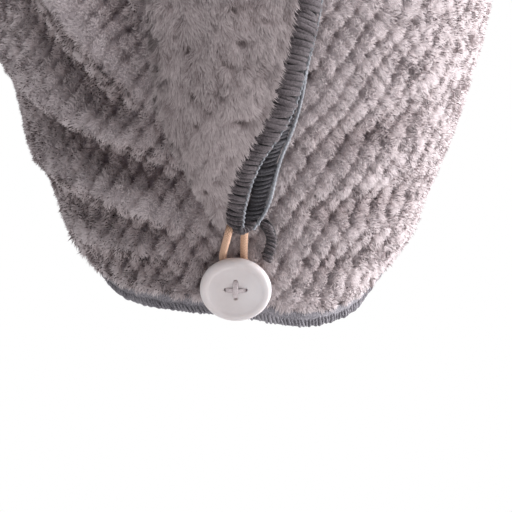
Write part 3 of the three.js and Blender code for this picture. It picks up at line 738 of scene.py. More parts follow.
# The points stay up on the knobs, and sink into the pits by the mound's height
below_knob = add_node(pile_tree, "ShaderNodeMath", [tuft, 1.0], operation="SUBTRACT")
sinking = add_node(pile_tree, "ShaderNodeMath", [below_knob, given["Mound"]], operation="MULTIPLY")
drop = add_node(pile_tree, "ShaderNodeVectorMath", {0: normal, "Scale": sinking}, operation="SCALE")
raised = add_node(pile_tree, "GeometryNodeSetPosition", {"Geometry": kept, "Offset": drop})
planted = add_node(
    pile_tree,
    "GeometryNodeInstanceOnPoints",
    {"Points": raised, "Instance": strand, "Rotation": turned, "Scale": grown},
)
real = add_node(pile_tree, "GeometryNodeRealizeInstances", [planted])
painted = add_node(pile_tree, "GeometryNodeSetMaterial", {"Geometry": real, "Material": given["Material"]})
pile_tree.links.new(painted.outputs[0], pile_end.inputs["Geometry"])
print("pile tree has", len(pile_tree.nodes), "nodes")


# %% [markdown]
# A flat strand lit by its own face would look like a chip of paper. Real pile is lit as a soft mass, so
# each strand's normals are mostly the normals of the knob that it grows on, with a share of its own. On the
# tail, whose long pile is combed level, they also turn towards the way that the whole tail faces.

# %% Growing the pile
def take_values(mesh, name, width):
    """Reads named values from the mesh's points and removes them."""
    attribute = mesh.attributes[name]
    values = np.empty(len(mesh.vertices) * width)
    attribute.data.foreach_get("value" if width == 1 else "vector", values)
    mesh.attributes.remove(attribute)
    return values if width == 1 else values.reshape(-1, width)


# How much of a strand's normal comes from its knob, and the rest is its own
knob_share = 0.78


def grow_pile(cloth, name, finish, lattice, cover, comb, stature, flatness, values):
    """One piece of pile on the cloth, where the cover values are above 0."""
    for title, given_values in (("cover", np.clip(cover, 0, 1)), ("comb", comb), ("stature", stature)):
        write_values(cloth.data, title, given_values)
    mesh = run_tree(cloth, pile_tree, {**values, "Material": finish})
    ground = take_values(mesh, "ground", 3)
    strength = take_values(mesh, "strength", 1)
    across_here, along_here = take_values(mesh, "across", 1), take_values(mesh, "along", 1)
    for title in ("cover", "comb", "stature"):
        cloth.data.attributes.remove(cloth.data.attributes[title])
        if title in mesh.attributes:
            mesh.attributes.remove(mesh.attributes[title])
    side, down = lattice(places_of(mesh))[2:]
    slope = waffle_slope(across_here, along_here, values) * (values["Mound"] * strength)[:, None]
    level = unit(ground * (1 - flatness) + np.cross(down, side) * flatness)
    knob_way = unit(level - slope[:, :1] * side - slope[:, 1:] * down)
    own = normals_of(mesh)
    own *= np.where((own * ground).sum(axis=1, keepdims=True) < 0, -1, 1)
    mesh.polygons.foreach_set("use_smooth", np.ones(len(mesh.polygons), dtype=bool))
    mixed = unit(knob_share * knob_way + (1 - knob_share) * own)
    mesh.normals_split_custom_set_from_vertices(mixed.tolist())
    pile = link(name, mesh)
    print(name, sum(len(p.vertices) - 2 for p in mesh.polygons), "triangles")
    return pile


def sink_cloth(cloth, finish, ground, form, mound, below):
    """Presses the waffle into the cloth under its grown pile."""
    mesh = cloth.data
    tufts = np.clip(1 - (1 - waffle(ground["across"], ground["along"], form)) * ground["strength"], 0, 1)
    sinking = ((1 - tufts) * mound + below * np.clip(ground["strength"], 0, 1)) * ground["outer"]
    write_places(mesh, ground["places"] - ground["normals"] * sinking[:, None])
    # The ground gets painted shade in its pits and the painted shade of the strands' roots
    write_values(mesh, "tuft", tufts)
    write_values(mesh, "tip", np.full(len(tufts), 0.3))
    write_values(mesh, "tone", np.zeros(len(tufts)))
    for title in ("across", "along", "strength"):
        mesh.attributes.remove(mesh.attributes[title])
    mesh.materials.append(finish)
    print(cloth.name, "sunk by up to", round(float(sinking.max()) / MM, 2), "mm")


def sight_of(places, normals, node, reach):
    """True where a CAD node stands over the cloth within reach."""
    shape = solid_tree(node)
    hits = [
        shape.ray_cast(Vector(p) - Vector(n) * MM, Vector(n), reach)[0] is not None
        for p, n in zip(places, normals)
    ]
    return np.array(hits)


# %% [markdown]
# The loop is round elastic: rubber covered by a braid of polyester yarn. Both of its ends are sewn into the
# tail's tip, and it passes round the shank behind the button. The route repeats the solid's own points.

# %% Route of the loop
loop_route = [
    Vector(point) * MM
    for point in (
        (-4.84, -89.70, -186.44),
        (-6.78, -74.92, -193.68),
        (-6.55, -71.86, -197.10),
        (-5.95, -69.59, -200.98),
        (-5.55, -67.57, -204.44),
        (-5.04, -66.61, -206.08),
        (-3.65, -65.94, -207.30),
        (-1.75, -65.73, -207.76),
        (0.15, -66.04, -207.35),
        (1.54, -66.78, -206.18),
        (2.05, -67.76, -204.55),
        (2.15, -69.79, -201.10),
        (1.65, -72.07, -197.22),
        (1.33, -74.78, -193.59),
        (1.66, -85.06, -183.80),
    )
]


def smooth_line(points, step):
    """A Catmull-Rom curve through the points, as places about one step apart."""
    points = np.array([tuple(p) for p in points])
    ends = np.vstack([2 * points[0] - points[1], points, 2 * points[-1] - points[-2]])
    fine = []
    for a, b, c, d in zip(ends[:-3], ends[1:-2], ends[2:-1], ends[3:]):
        square, cube = 2 * a - 5 * b + 4 * c - d, 3 * b - a - 3 * c + d
        for t in np.linspace(0, 1, 24, endpoint=False):
            fine.append(0.5 * (2 * b + (c - a) * t + square * t**2 + cube * t**3))
    fine.append(points[-1])
    return even_steps(np.array(fine), step)


def even_steps(line, step, closed=False):
    """The same line, or the sections along it, with their places an even step apart."""
    if closed:
        line = np.vstack([line, line[:1]])
    lengths = np.linalg.norm(np.diff(line[:, :3], axis=0), axis=1)
    run = np.concatenate([[0], np.cumsum(lengths)])
    count = max(int(round(run[-1] / step)), 2)
    at = np.linspace(0, run[-1], count + 1)
    if closed:
        at = at[:-1]
    return np.stack([np.interp(at, run, line[:, k]) for k in range(line.shape[1])], axis=1)


# Each end runs a little further up into the tip, where the stitches hold it
sewn_in = [Vector((-3.9, -90.4, -182.4)) * MM, Vector((2.4, -85.7, -181.0)) * MM]
loop_line = smooth_line([sewn_in[0], *loop_route, sewn_in[1]], 0.3 * MM)
loop_length = float(np.linalg.norm(np.diff(loop_line, axis=0), axis=1).sum())
print("the loop is", round(loop_length / MM, 1), "mm long")


# %% [markdown]
# Cords, threads and edgings are all swept: an outline is carried along a line. Every section gets two
# directions, one to the side and one up, so that a flat section doesn't twist.

# %% Sweeping
def directions_along(line, hint):
    """For each place on a line, a side and an up that turn smoothly from a first hint."""
    on = unit(np.gradient(line, axis=0))
    ups = []
    up_now = np.array(hint, dtype=float)
    for way_on in on:
        up_now = up_now - way_on * (up_now @ way_on)
        up_now = up_now / np.linalg.norm(up_now)
        ups.append(up_now)
    ups = np.array(ups)
    return np.cross(on, ups), ups


def sweep(name, line, sides, ups, outline, closed, material):
    """A body whose outline, given as (side, up) for each station and point, is carried along a line."""
    stations, points = outline.shape[:2]
    places = line[:, None, :] + outline[..., :1] * sides[:, None, :] + outline[..., 1:] * ups[:, None, :]
    mesh = bpy.data.meshes.new(name)
    faces = []
    bands = stations if closed else stations - 1
    for s in range(bands):
        t = (s + 1) % stations
        for k in range(points):
            m = (k + 1) % points
            faces.append((s * points + k, s * points + m, t * points + m, t * points + k))
    if not closed:
        faces.append(tuple(range(points - 1, -1, -1)))
        faces.append(tuple((stations - 1) * points + k for k in range(points)))
    mesh.from_pydata(places.reshape(-1, 3).tolist(), [], faces)
    # The map counts metres along the line and shares round the outline
    steps = np.linalg.norm(np.diff(np.vstack([line, line[:1]]), axis=0), axis=1)
    run = np.concatenate([[0], np.cumsum(steps)])
    uv = mesh.uv_layers.new(name="round")
    values = []
    for s in range(bands):
        for k in range(points):
            low, high_share = k / points, (k + 1) / points
            values += [(run[s], low), (run[s], high_share), (run[s + 1], high_share), (run[s + 1], low)]
    values += [(0, 0)] * (len(mesh.loops) - len(values))
    uv.data.foreach_set("uv", np.array(values, dtype=np.float32).ravel())
    form = bmesh.new()
    form.from_mesh(mesh)
    bmesh.ops.recalc_face_normals(form, faces=form.faces)
    form.to_mesh(mesh)
    form.free()
    mesh.polygons.foreach_set("use_smooth", np.ones(len(mesh.polygons), dtype=bool))
    mesh.materials.append(material)
    return link(name, mesh)


def round_outline(stations, points, radius):
    """A round section for each station, with one radius or one for each station."""
    angle = np.linspace(0, 2 * math.pi, points, endpoint=False)
    ring = np.stack([np.cos(angle), np.sin(angle)], axis=1)
    return np.tile(ring, (stations, 1, 1)) * np.reshape(radius, (-1, 1, 1))


# %% [markdown]
# The braid has 16 yarns that cross over and under one another. At 3 mm across, each crossing is about
# 0.6 mm long. The relief is in the mesh, and the finish paints the small gaps between the yarns darker, as
# painted shade.

# %% The loop's finish
def yarn_material(name, colour, gap_colour, crossing, yarns, roughness):
    """Braided yarn on the swept map: two families of slanting yarns."""
    material, tree, shader = new_material(name)
    uv = add_node(tree, "ShaderNodeUVMap", uv_map="round")
    split = add_node(tree, "ShaderNodeSeparateXYZ", [uv]).outputs
    run = add_node(tree, "ShaderNodeMath", [split["X"], math.pi / crossing], operation="MULTIPLY")
    turn = add_node(tree, "ShaderNodeMath", [split["Y"], math.pi * yarns], operation="MULTIPLY")
    waves = []
    for operation in ("ADD", "SUBTRACT"):
        slant = add_node(tree, "ShaderNodeMath", [turn, run], operation=operation)
        wave = add_node(tree, "ShaderNodeMath", [slant], operation="SINE")
        waves.append(add_node(tree, "ShaderNodeMath", [wave], operation="ABSOLUTE"))
    both = add_node(tree, "ShaderNodeMath", waves, operation="MULTIPLY")
    place = add_node(tree, "ShaderNodeTexCoord").outputs["Object"]
    fuzz = add_node(tree, "ShaderNodeTexNoise", {"Vector": place, "Scale": 1 / (0.7 * MM), "Detail": 4.0})
    share = [fuzz, 0.5, both]
    share = add_node(tree, "ShaderNodeMath", share, operation="MULTIPLY_ADD", use_clamp=True)
    ramp = add_node(tree, "ShaderNodeValToRGB", [share])
    # Painted shade in the gaps between the yarns
    tree.links.new(paint(ramp, [(0.1, gap_colour), (0.75, colour)]), shader.inputs["Base Color"])
    relief = add_node(tree, "ShaderNodeBump", {"Height": share, "Distance": 0.12 * MM, "Strength": 0.7})
    tree.links.new(relief.outputs["Normal"], shader.inputs["Normal"])
    set_values(shader, {"Roughness": roughness, "Specular IOR Level": 0.3, "Sheen Weight": 0.1})
    return material


crossing_length = 0.9 * MM
yarns_each_way = 8
elastic_finish = yarn_material(
    "round elastic, braided polyester over rubber",
    "#DDB69A",
    "#9C755A",
    crossing_length,
    yarns_each_way,
    0.7,
)

# %% The loop
cord_radius = 1.5 * MM
loop_side, loop_up = directions_along(loop_line, (0, -0.86, -0.51))
loop_run = np.linspace(0, loop_length, len(loop_line))
cord_points = 24
braid = np.zeros((len(loop_line), cord_points))
for k in range(cord_points):
    turn_share = k / cord_points * yarns_each_way * math.pi
    over = np.abs(np.sin(turn_share + loop_run * math.pi / crossing_length))
    under = np.abs(np.sin(turn_share - loop_run * math.pi / crossing_length))
    braid[:, k] = over * under
loop_outline = round_outline(len(loop_line), cord_points, cord_radius) * (0.95 + 0.06 * braid[..., None])
loop = sweep("loop_cord", loop_line, loop_side, loop_up, loop_outline, False, elastic_finish)
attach(loop, "root")
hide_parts("elastic_loop")
print("loop", len(loop.data.polygons), "faces")

# %% [markdown]
# The button's own frame is repeated from its solid: a seat on the nape, the way it faces, and how far it
# stands off the cloth on its thread shank.

# %% The button's frame
button_seat = Vector((-1.70, -66.11, -203.58)) * MM
button_facing = Vector((-0.02864, -0.86089, -0.50799)).normalized()
stand_off = 5.4 * MM
button_right = (Vector((1, 0, 0)) - button_facing * button_facing.x).normalized()
button_up = button_facing.cross(button_right)
button_origin = button_seat + button_facing * stand_off
onto_button = Matrix(
    (
        (button_right.x, button_up.x, button_facing.x, button_origin.x),
        (button_right.y, button_up.y, button_facing.y, button_origin.y),
        (button_right.z, button_up.z, button_facing.z, button_origin.z),
        (0, 0, 0, 1),
    )
)
button_low, button_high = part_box("button")
button_shift = button_origin - (button_low + button_high) / 2
print("button seat to box centre, mm", round(button_shift.length / MM, 2))

# %% [markdown]
# The button is cast polyester, turned on a lathe and tumbled until it is satin. It has a rounded lip with a
# fine step inside it, a shallow dish, and four holes. The profile is spun round, the holes are cut, and a
# fine voxel remesh with a little smoothing softens each edge as tumbling does.

# %% The button's finish
button_finish, tree, shader = new_material("polyester resin button, cast and tumbled")
place = add_node(tree, "ShaderNodeTexCoord").outputs["Object"]
clouds = add_node(tree, "ShaderNodeTexNoise", {"Vector": place, "Scale": 1 / (14 * MM), "Detail": 3.0})
ramp = add_node(tree, "ShaderNodeValToRGB", [clouds])
tree.links.new(paint(ramp, [(0.3, "#DDD5D3"), (0.7, "#E9E4E3")]), shader.inputs["Base Color"])
scuffs = add_node(tree, "ShaderNodeTexNoise", {"Vector": place, "Scale": 1 / (0.6 * MM), "Detail": 4.0})
dulled = add_node(tree, "ShaderNodeMapRange", {"Value": scuffs, "To Min": 0.3, "To Max": 0.46})
tree.links.new(dulled.outputs[0], shader.inputs["Roughness"])
set_values(shader, {"IOR": 1.55, "Subsurface Weight": 0.35, "Subsurface Scale": 1.5 * MM})
set_values(shader, {"Subsurface Radius": (1.0, 0.9, 0.8)})
print("button finish:", button_finish.name)


# %% The button
def spun(name, profile, segments):
    """A closed body from a profile of (radius, height) that starts and ends on the axis."""
    form = bmesh.new()
    rings = []
    for radius, height in profile:
        if radius < 1e-9:
            rings.append([form.verts.new((0, 0, height))] * segments)
        else:
            angles = [2 * math.pi * k / segments for k in range(segments)]
            ring = [(radius * math.cos(a), radius * math.sin(a), height) for a in angles]
            rings.append([form.verts.new(corner) for corner in ring])
    for low, high in zip(rings[:-1], rings[1:]):
        for k in range(segments):
            m = (k + 1) % segments
            corners = [low[k], low[m], high[m], high[k]]
            form.faces.new([c for i, c in enumerate(corners) if c not in corners[:i]])
    bmesh.ops.recalc_face_normals(form, faces=form.faces)
    mesh = bpy.data.meshes.new(name)
    form.to_mesh(mesh)
    form.free()
    return link(name, mesh)


button_radius = 14 * MM
button_thickness = 4.4 * MM
button_profile = [
    (0, 0),
    (0.8 * button_radius, 0),
    (0.9 * button_radius, 0.12 * MM),
    (0.965 * button_radius, 0.7 * MM),
    (0.995 * button_radius, 1.6 * MM),
    (button_radius, 2.3 * MM),
    (0.99 * button_radius, 3.1 * MM),
    (0.96 * button_radius, 3.8 * MM),
    (0.915 * button_radius, 4.25 * MM),
    (0.86 * button_radius, button_thickness),
    (0.81 * button_radius, 4.3 * MM),
    (0.78 * button_radius, 4.05 * MM),
    (0.765 * button_radius, 3.72 * MM),
    (0.745 * button_radius, 3.66 * MM),
    (0.7 * button_radius, 3.5 * MM),
    (0.55 * button_radius, 3.15 * MM),
    (0.35 * button_radius, 2.9 * MM),
    (0, 2.78 * MM),
]
hole_spread = 3.8 * MM
hole_radius = 0.85 * MM
blank = spun("button_blank", button_profile, 128)
drills = bmesh.new()
for quarter in range(4):
    angle = quarter * math.pi / 2
    hole_place = Vector((hole_spread * math.cos(angle), hole_spread * math.sin(angle), 2 * MM))
    bmesh.ops.create_cone(
        drills,
        cap_ends=True,
        segments=24,
        radius1=hole_radius,
        radius2=hole_radius,
        depth=8 * MM,
        matrix=Matrix.Translation(hole_place),
    )
drill_mesh = bpy.data.meshes.new("drills")
drills.to_mesh(drill_mesh)
drills.free()
drill = link("drills", drill_mesh)
cut = blank.modifiers.new("holes", "BOOLEAN")
cut.operation = "DIFFERENCE"
cut.object = drill
cut.solver = "EXACT"
even = blank.modifiers.new("even", "REMESH")
even.mode = "VOXEL"
even.voxel_size = 0.32 * MM
even.use_smooth_shade = True
tumbled = blank.modifiers.new("tumbled", "SMOOTH")
tumbled.factor = 0.5
tumbled.iterations = 3
button_mesh = evaluated(blank)
button_mesh.transform(onto_button)
button_mesh.materials.clear()
button_mesh.materials.append(button_finish)
bpy.data.objects.remove(blank)
bpy.data.objects.remove(drill)
button = link("button_disc", button_mesh)
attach(button, "root")
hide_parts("button")
print("button", len(button_mesh.polygons), "faces")


# %% [markdown]
# The button is sewn on with several passes of thread each way. The strands lie side by side over the dish,
# go down through the holes, and behind the button the thread is wound round them into a shank.

# %% The thread's finish
thread_finish, tree, shader = new_material("polyester sewing thread, spun")
place = add_node(tree, "ShaderNodeTexCoord").outputs["Object"]
twist = add_node(tree, "ShaderNodeTexNoise", {"Vector": place, "Scale": 1 / (0.35 * MM), "Detail": 4.0})
ramp = add_node(tree, "ShaderNodeValToRGB", [twist])
tree.links.new(paint(ramp, [(0.35, "#C6BABA"), (0.65, "#E2D9D9")]), shader.inputs["Base Color"])
relief = add_node(tree, "ShaderNodeBump", {"Height": twist, "Distance": 0.1 * MM, "Strength": 0.6})
tree.links.new(relief.outputs["Normal"], shader.inputs["Normal"])
set_values(shader, {"Roughness": 0.75, "Specular IOR Level": 0.3, "Sheen Weight": 0.15})
print("thread finish:", thread_finish.name)


# %% The sewing thread
def joined(name, pieces):
    """One mesh object out of several."""
    form = bmesh.new()
    for piece in pieces:
        form.from_mesh(piece.data)
    mesh = bpy.data.meshes.new(name)
    form.to_mesh(mesh)
    form.free()
    for material in pieces[0].data.materials:
        mesh.materials.append(material)
    for piece in pieces:
        bpy.data.objects.remove(piece)
    return link(name, mesh)


def thread_along(name, points, radius, sides, material, step=0.3 * MM):
    """A round thread along a smooth line through the points."""
    line = smooth_line(points, step)
    steep = abs(unit(line[1] - line[0])[2]) >= 0.9
    side, up_way = directions_along(line, (1, 0, 0) if steep else (0.1, 0.2, 1.0))
    return sweep(name, line, side, up_way, round_outline(len(line), sides, radius), False, material)


stitch_radius = 0.4 * MM
threads = []
for cross_turn in (0, 1):
    for k in range(3):
        offset = (k - 1) * 0.62 * MM
        crown = 3.55 * MM + (0.45 * MM if cross_turn else 0) + (0.12 * MM if k == 1 else 0)
        points = []
        for share in (-1.0, -0.98, -0.8, -0.4, 0.0, 0.4, 0.8, 0.98, 1.0):
            reach = share * hole_spread
            depth = {1.0: -0.6 * MM, 0.98: 1.6 * MM, 0.8: 3.1 * MM}.get(abs(share), crown)
            narrow = 0.55 if abs(share) > 0.9 else 1.0
            flat = (reach, offset * narrow)
            points.append((*flat, depth) if cross_turn == 0 else (-flat[1], flat[0], depth))
        threads.append(thread_along(f"strand_{cross_turn}_{k}", points, stitch_radius, 8, thread_finish))
# The wound shank between the cloth and the button
shank_steps = 9 * 12
shank_radius = 1.65 * MM
shank_points = []
for k in range(shank_steps + 1):
    angle = k * math.pi / 6
    height = -0.5 * MM - (stand_off - 1.0 * MM) * k / shank_steps
    shank_points.append((shank_radius * math.cos(angle), shank_radius * math.sin(angle), height))
threads.append(thread_along("shank_winding", shank_points, 0.32 * MM, 6, thread_finish, 0.5 * MM))
core_line = np.array([[0, 0, -0.2 * MM - (stand_off - 0.6 * MM) * t] for t in np.linspace(0, 1, 6)])
core_side, core_up = directions_along(core_line, (1, 0, 0))
threads.append(
    sweep("shank_core", core_line, core_side, core_up, round_outline(6, 12, 1.5 * MM), False, thread_finish)
)
# The bundle that lies across the back between the holes
for a, b in (((1, 0), (0, 1)), ((-1, 0), (0, -1))):
    points = [
        (a[0] * hole_spread, a[1] * hole_spread, 0.4 * MM),
        (a[0] * hole_spread * 0.9, a[1] * hole_spread * 0.9, -0.5 * MM),
        ((a[0] + b[0]) * 0.35 * hole_spread, (a[1] + b[1]) * 0.35 * hole_spread, -0.6 * MM),
        (b[0] * hole_spread * 0.9, b[1] * hole_spread * 0.9, -0.5 * MM),
        (b[0] * hole_spread, b[1] * hole_spread, 0.4 * MM),
    ]
    threads.append(thread_along("back_strand", points, 0.6 * MM, 8, thread_finish))
button_thread = joined("button_stitches", threads)
button_thread.data.transform(onto_button)
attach(button_thread, "root")
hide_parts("button_thread")
print("thread", len(button_thread.data.polygons), "faces")


# %% [markdown]
# The cut edges are overlocked: thread wraps round each edge in close slanting ribs, over a band of cloth
# that is rolled and squeezed by it. The bands are found by slicing the solids with planes, which gives each
# section's middle, width, thickness and two directions.

# %% Slicing a band
def section_points(triangles, origin, normal, ahead):
    """Where a half plane cuts the triangles."""
    height = (triangles - origin) @ normal
    cuts = []
    for i, j in ((0, 1), (1, 2), (2, 0)):
        crossing = height[:, i] * height[:, j] < 0
        a, b = triangles[crossing, i], triangles[crossing, j]
        share = height[crossing, i] / (height[crossing, i] - height[crossing, j])
        cuts.append(a + (b - a) * share[:, None])
    cuts = np.vstack(cuts)
    return cuts[(cuts - origin) @ ahead > 0]


def band_sections(node, planes, first_side, first_up):
    """For each plane (origin, normal, ahead): the band's middle, side, up, width and thickness."""
    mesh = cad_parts[node].data
    mesh.calc_loop_triangles()
    places = places_of(mesh)
    corners = np.array([t.vertices[:] for t in mesh.loop_triangles])
    triangles = places[corners]
    side_now, up_now = np.array(first_side, dtype=float), np.array(first_up, dtype=float)
    rows = []
    for origin, normal, ahead in planes:
        points = section_points(triangles, origin, normal, ahead)
        if len(points) < 3:
            continue
        x_way = unit(up_now - normal * (up_now @ normal))
        y_way = np.cross(normal, x_way)
        offsets = points - points.mean(axis=0)
        flat = np.stack([offsets @ x_way, offsets @ y_way], axis=1)
        best = None
        for angle in np.linspace(0, math.pi / 2, 61)[:-1]:
            turned_way = np.array([[math.cos(angle), math.sin(angle)], [-math.sin(angle), math.cos(angle)]])
            there = flat @ turned_way.T
            low, high = there.min(axis=0), there.max(axis=0)
            extent = high - low
            if best is None or extent.prod() < best[0]:
                best = (extent.prod(), extent, (low + high) / 2 @ turned_way, turned_way)
        _, extent, middle, turned_way = best
        ways = [w[0] * x_way + w[1] * y_way for w in turned_way]
        long_one = int(extent[1] > extent[0])
        side, up_way = ways[long_one], ways[1 - long_one]
        side = side * (1 if side @ side_now > 0 else -1)
        up_way = up_way * (1 if up_way @ up_now > 0 else -1)
        side_now, up_now = side, up_way
        centre = points.mean(axis=0) + middle[0] * x_way + middle[1] * y_way
        rows.append(np.concatenate([centre, side, up_way, [extent[long_one], extent[1 - long_one]]]))
    return np.array(rows)


def squared(rows):
    """Turns each section's upward way square to its side."""
    side, up_way = rows[:, 3:6], rows[:, 6:9]
    rows[:, 6:9] = unit(up_way - side * (up_way * side).sum(axis=1, keepdims=True))
    return rows


def settled(rows, closed, passes):
    """The same sections with small jumps smoothed out."""
    for _ in range(passes):
        before = np.roll(rows, 1, axis=0)
        after = np.roll(rows, -1, axis=0)
        if not closed:
            before[0], after[-1] = rows[0], rows[-1]
        rows = (before + 2 * rows + after) / 4
    rows[:, 3:6] = unit(rows[:, 3:6])
    return squared(rows)


def stepped(rows, step, closed):
    """The sections at even steps along the band."""
    rows = even_steps(rows, step, closed)
    rows[:, 3:6] = unit(rows[:, 3:6])
    rows[:, 6:9] = unit(rows[:, 6:9])
    return rows


def half_plane(origin, ahead, about):
    """The half plane through an axis that looks ahead."""
    return origin, np.cross(about, ahead), ahead


upward = np.array([0, 0, 1.0])
sideways = np.array([1.0, 0, 0])
rim_planes = []
for degrees in range(-180, 180, 2):
    azimuth = math.radians(degrees + 0.4)
    rim_planes.append(half_plane(np.zeros(3), np.array([math.sin(azimuth), -math.cos(azimuth), 0]), upward))
rim_rows = settled(band_sections("rim_edge", rim_planes, -upward, np.array([0, 1.0, 0])), True, 3)
# The rolled edge reaches up under the cloth's lip
rim_core = rim_rows.copy()
rim_core[:, :3] -= rim_core[:, 3:6] * 1.8 * MM
rim_core[:, 9] += 3.4 * MM
rim_core[:, 10] *= 0.8
rim_rows[:, :3] += rim_rows[:, 3:6] * 0.35 * MM
rim_rows[:, 9] -= 0.7 * MM
tail_planes = []
for tenths in range(158, 2300, 15):
    turn = math.radians(tenths / 10)
    tail_planes.append(half_plane(head_centre, np.array([0, math.cos(turn), math.sin(turn)]), sideways))
top_rows, under_rows = [
    settled(band_sections(node, tail_planes, sideways, np.array([0, 1.0, 0])), False, 3)
    for node in ("tail_edge_top", "tail_edge_under")
]
# Towards the tip the bands roll outwards over the pile. The front one spreads and then narrows
way_down = np.linspace(0, 1, len(top_rows))[:, None]
front_spread = np.interp(way_down, (0.56, 0.68, 0.8, 0.9, 1.0), (-1.5, 0.8, 4.0, 3.2, -0.9)) * MM
top_rows[:, :3] += top_rows[:, 3:6] * np.abs(front_spread) / 2
top_rows[:, 9:10] += front_spread
way_down = np.linspace(0, 1, len(under_rows))[:, None]
back_spread = np.interp(way_down, (0.62, 0.8, 0.93, 1.0), (0, 2.6 * MM, 1.9 * MM, 0.2 * MM))
under_rows[:, :3] -= under_rows[:, 3:6] * back_spread * 0.3
under_rows[:, 9:10] += back_spread
# The back band turns its face to the left there, like the inside of a pocket
under_rows[:, 3:6] = unit(under_rows[:, 3:6] - under_rows[:, 6:9] * 160 * back_spread)
under_rows = squared(under_rows)


def tip_turn(first, last, drop, count):
    """Sections that carry one band round the tail's tip into the other."""
    middle = (first[:3] + last[:3]) / 2
    radial = first[:3] - middle
    rows = []
    for angle in np.linspace(0, math.pi, count):
        centre = middle + radial * math.cos(angle) + drop * math.sin(angle)
        up_way = unit(unit(radial) * math.cos(angle) + unit(drop) * math.sin(angle))
        share = angle / math.pi
        side = unit(first[3:6] * (1 - share) + last[3:6] * share)
        side = unit(side - up_way * (side @ up_way))
        size = first[9:] * (1 - share) + last[9:] * share
        rows.append(np.concatenate([centre, side, up_way, size]))
    return np.array(rows)


tail_end = unit(top_rows[-1, :3] - top_rows[-4, :3])
tip_rows = tip_turn(top_rows[-1], under_rows[-1], tail_end * 3.0 * MM, 9)
for name, rows in (("rim", rim_rows), ("top", top_rows), ("under", under_rows)):
    print(name, "mean width and thickness mm", np.round(rows[:, 9:].mean(axis=0) / MM, 2))
    print(len(rows), "sections, and the last is at, mm", np.round(rows[-1, :3] / MM, 1))

# %% [markdown]
# The edging thread is textured polyester, spun soft so that it fills out and covers the edge. It is matt
# with a faint sheen on each rib. A paler looper thread runs along the outer border. The rim's thread is a
# lighter copy, painted light, the thread in the tail's fold a darker copy, painted shade, and the rolled
# band that shows between the ribs is painted dark as the shade between them.

# %% The edging's finishes
def thread_material(name, dark, light, size):
    """Spun thread: fibres in two tones with a fine relief."""
    material, tree, shader = new_material(name)
    place = add_node(tree, "ShaderNodeTexCoord").outputs["Object"]
    fibres = add_node(tree, "ShaderNodeTexNoise", {"Vector": place, "Scale": 1 / size, "Detail": 4.0})
    worn = add_node(tree, "ShaderNodeTexNoise", {"Vector": place, "Scale": 1 / (9 * MM), "Detail": 2.0})
    share = add_node(tree, "ShaderNodeMath", [worn, 0.6, fibres], operation="MULTIPLY_ADD")
    ramp = add_node(tree, "ShaderNodeValToRGB", [share])
    tree.links.new(paint(ramp, [(0.5, dark), (1.05, light)]), shader.inputs["Base Color"])
    relief = add_node(tree, "ShaderNodeBump", {"Height": fibres, "Distance": 0.35 * MM, "Strength": 0.9})
    tree.links.new(relief.outputs["Normal"], shader.inputs["Normal"])
    set_values(shader, {"Roughness": 0.8, "Specular IOR Level": 0.25, "Sheen Weight": 0.15})
    return material


rib_finish = thread_material("overlock thread, textured polyester", "#332D30", "#726A6C", 0.6 * MM)
# A lighter copy of the overlock thread, painted light on the rim
lit_rim_thread_finish = thread_material("overlock thread on the rim, in painted light", "#5A575C", "#A3A0A5", 0.6 * MM)
# A darker copy of the overlock thread, painted shade in the tail's fold
shaded_fold_thread_finish = thread_material("overlock thread in the fold, in painted shade", "#242226", "#5A585C", 0.6 * MM)
looper_finish = thread_material("looper thread, spun polyester", "#7B7F85", "#B2B5BA", 0.5 * MM)
# Painted dark as the shade in the gaps between the ribs
shaded_band_finish = thread_material("rolled cloth edge under the overlock, in painted shade", "#242224", "#403D3F", 0.8 * MM)

# %% The ribs' node tree
rib_tree, given, rib_end = new_tree(
    "overlock ribs",
    [
        ("Rib Reach", "NodeSocketFloat"),
        ("Rib Height", "NodeSocketFloat"),
        ("Thread", "NodeSocketFloat"),
        ("Slant", "NodeSocketFloat"),
        ("Material", "NodeSocketMaterial"),
    ],
)
# One rib: a ring of thread round the band, tilted along it
ring = add_node(rib_tree, "GeometryNodeCurvePrimitiveCircle", {"Resolution": 14, "Radius": 1.0})
ring_place = add_node(rib_tree, "GeometryNodeInputPosition")
ring_place = add_node(rib_tree, "ShaderNodeSeparateXYZ", [ring_place]).outputs
ring_side = [ring_place["X"], given["Rib Reach"]]
ring_side = add_node(rib_tree, "ShaderNodeMath", ring_side, operation="MULTIPLY")
ring_up = [ring_place["Y"], given["Rib Height"]]
ring_up = add_node(rib_tree, "ShaderNodeMath", ring_up, operation="MULTIPLY")
ring_on = add_node(rib_tree, "ShaderNodeMath", [ring_side, given["Slant"]], operation="MULTIPLY")
ring_all = add_node(rib_tree, "ShaderNodeCombineXYZ", [ring_side, ring_on, ring_up])
ring_set = add_node(rib_tree, "GeometryNodeSetPosition", {"Geometry": ring, "Position": ring_all})
yarn = add_node(rib_tree, "GeometryNodeCurvePrimitiveCircle", {"Resolution": 6, "Radius": given["Thread"]})
rib = add_node(rib_tree, "GeometryNodeCurveToMesh", {"Curve": ring_set, "Profile Curve": yarn})
rib_smooth = add_node(rib_tree, "GeometryNodeSetShadeSmooth", {"Geometry": rib})
side_way, up_way, grow = [
    add_node(rib_tree, "GeometryNodeInputNamedAttribute", {"Name": title}, data_type=kind)
    for title, kind in (("side", "FLOAT_VECTOR"), ("up", "FLOAT_VECTOR"), ("grow", "FLOAT"))
]
axes = add_node(
    rib_tree,
    "FunctionNodeAxesToRotation",
    {"Primary Axis": up_way, "Secondary Axis": side_way},
    primary_axis="Z",
    secondary_axis="X",
)
ribs = add_node(
    rib_tree,
    "GeometryNodeInstanceOnPoints",
    {"Points": given["Geometry"], "Instance": rib_smooth, "Rotation": axes, "Scale": grow},
)
ribs_real = add_node(rib_tree, "GeometryNodeRealizeInstances", [ribs])
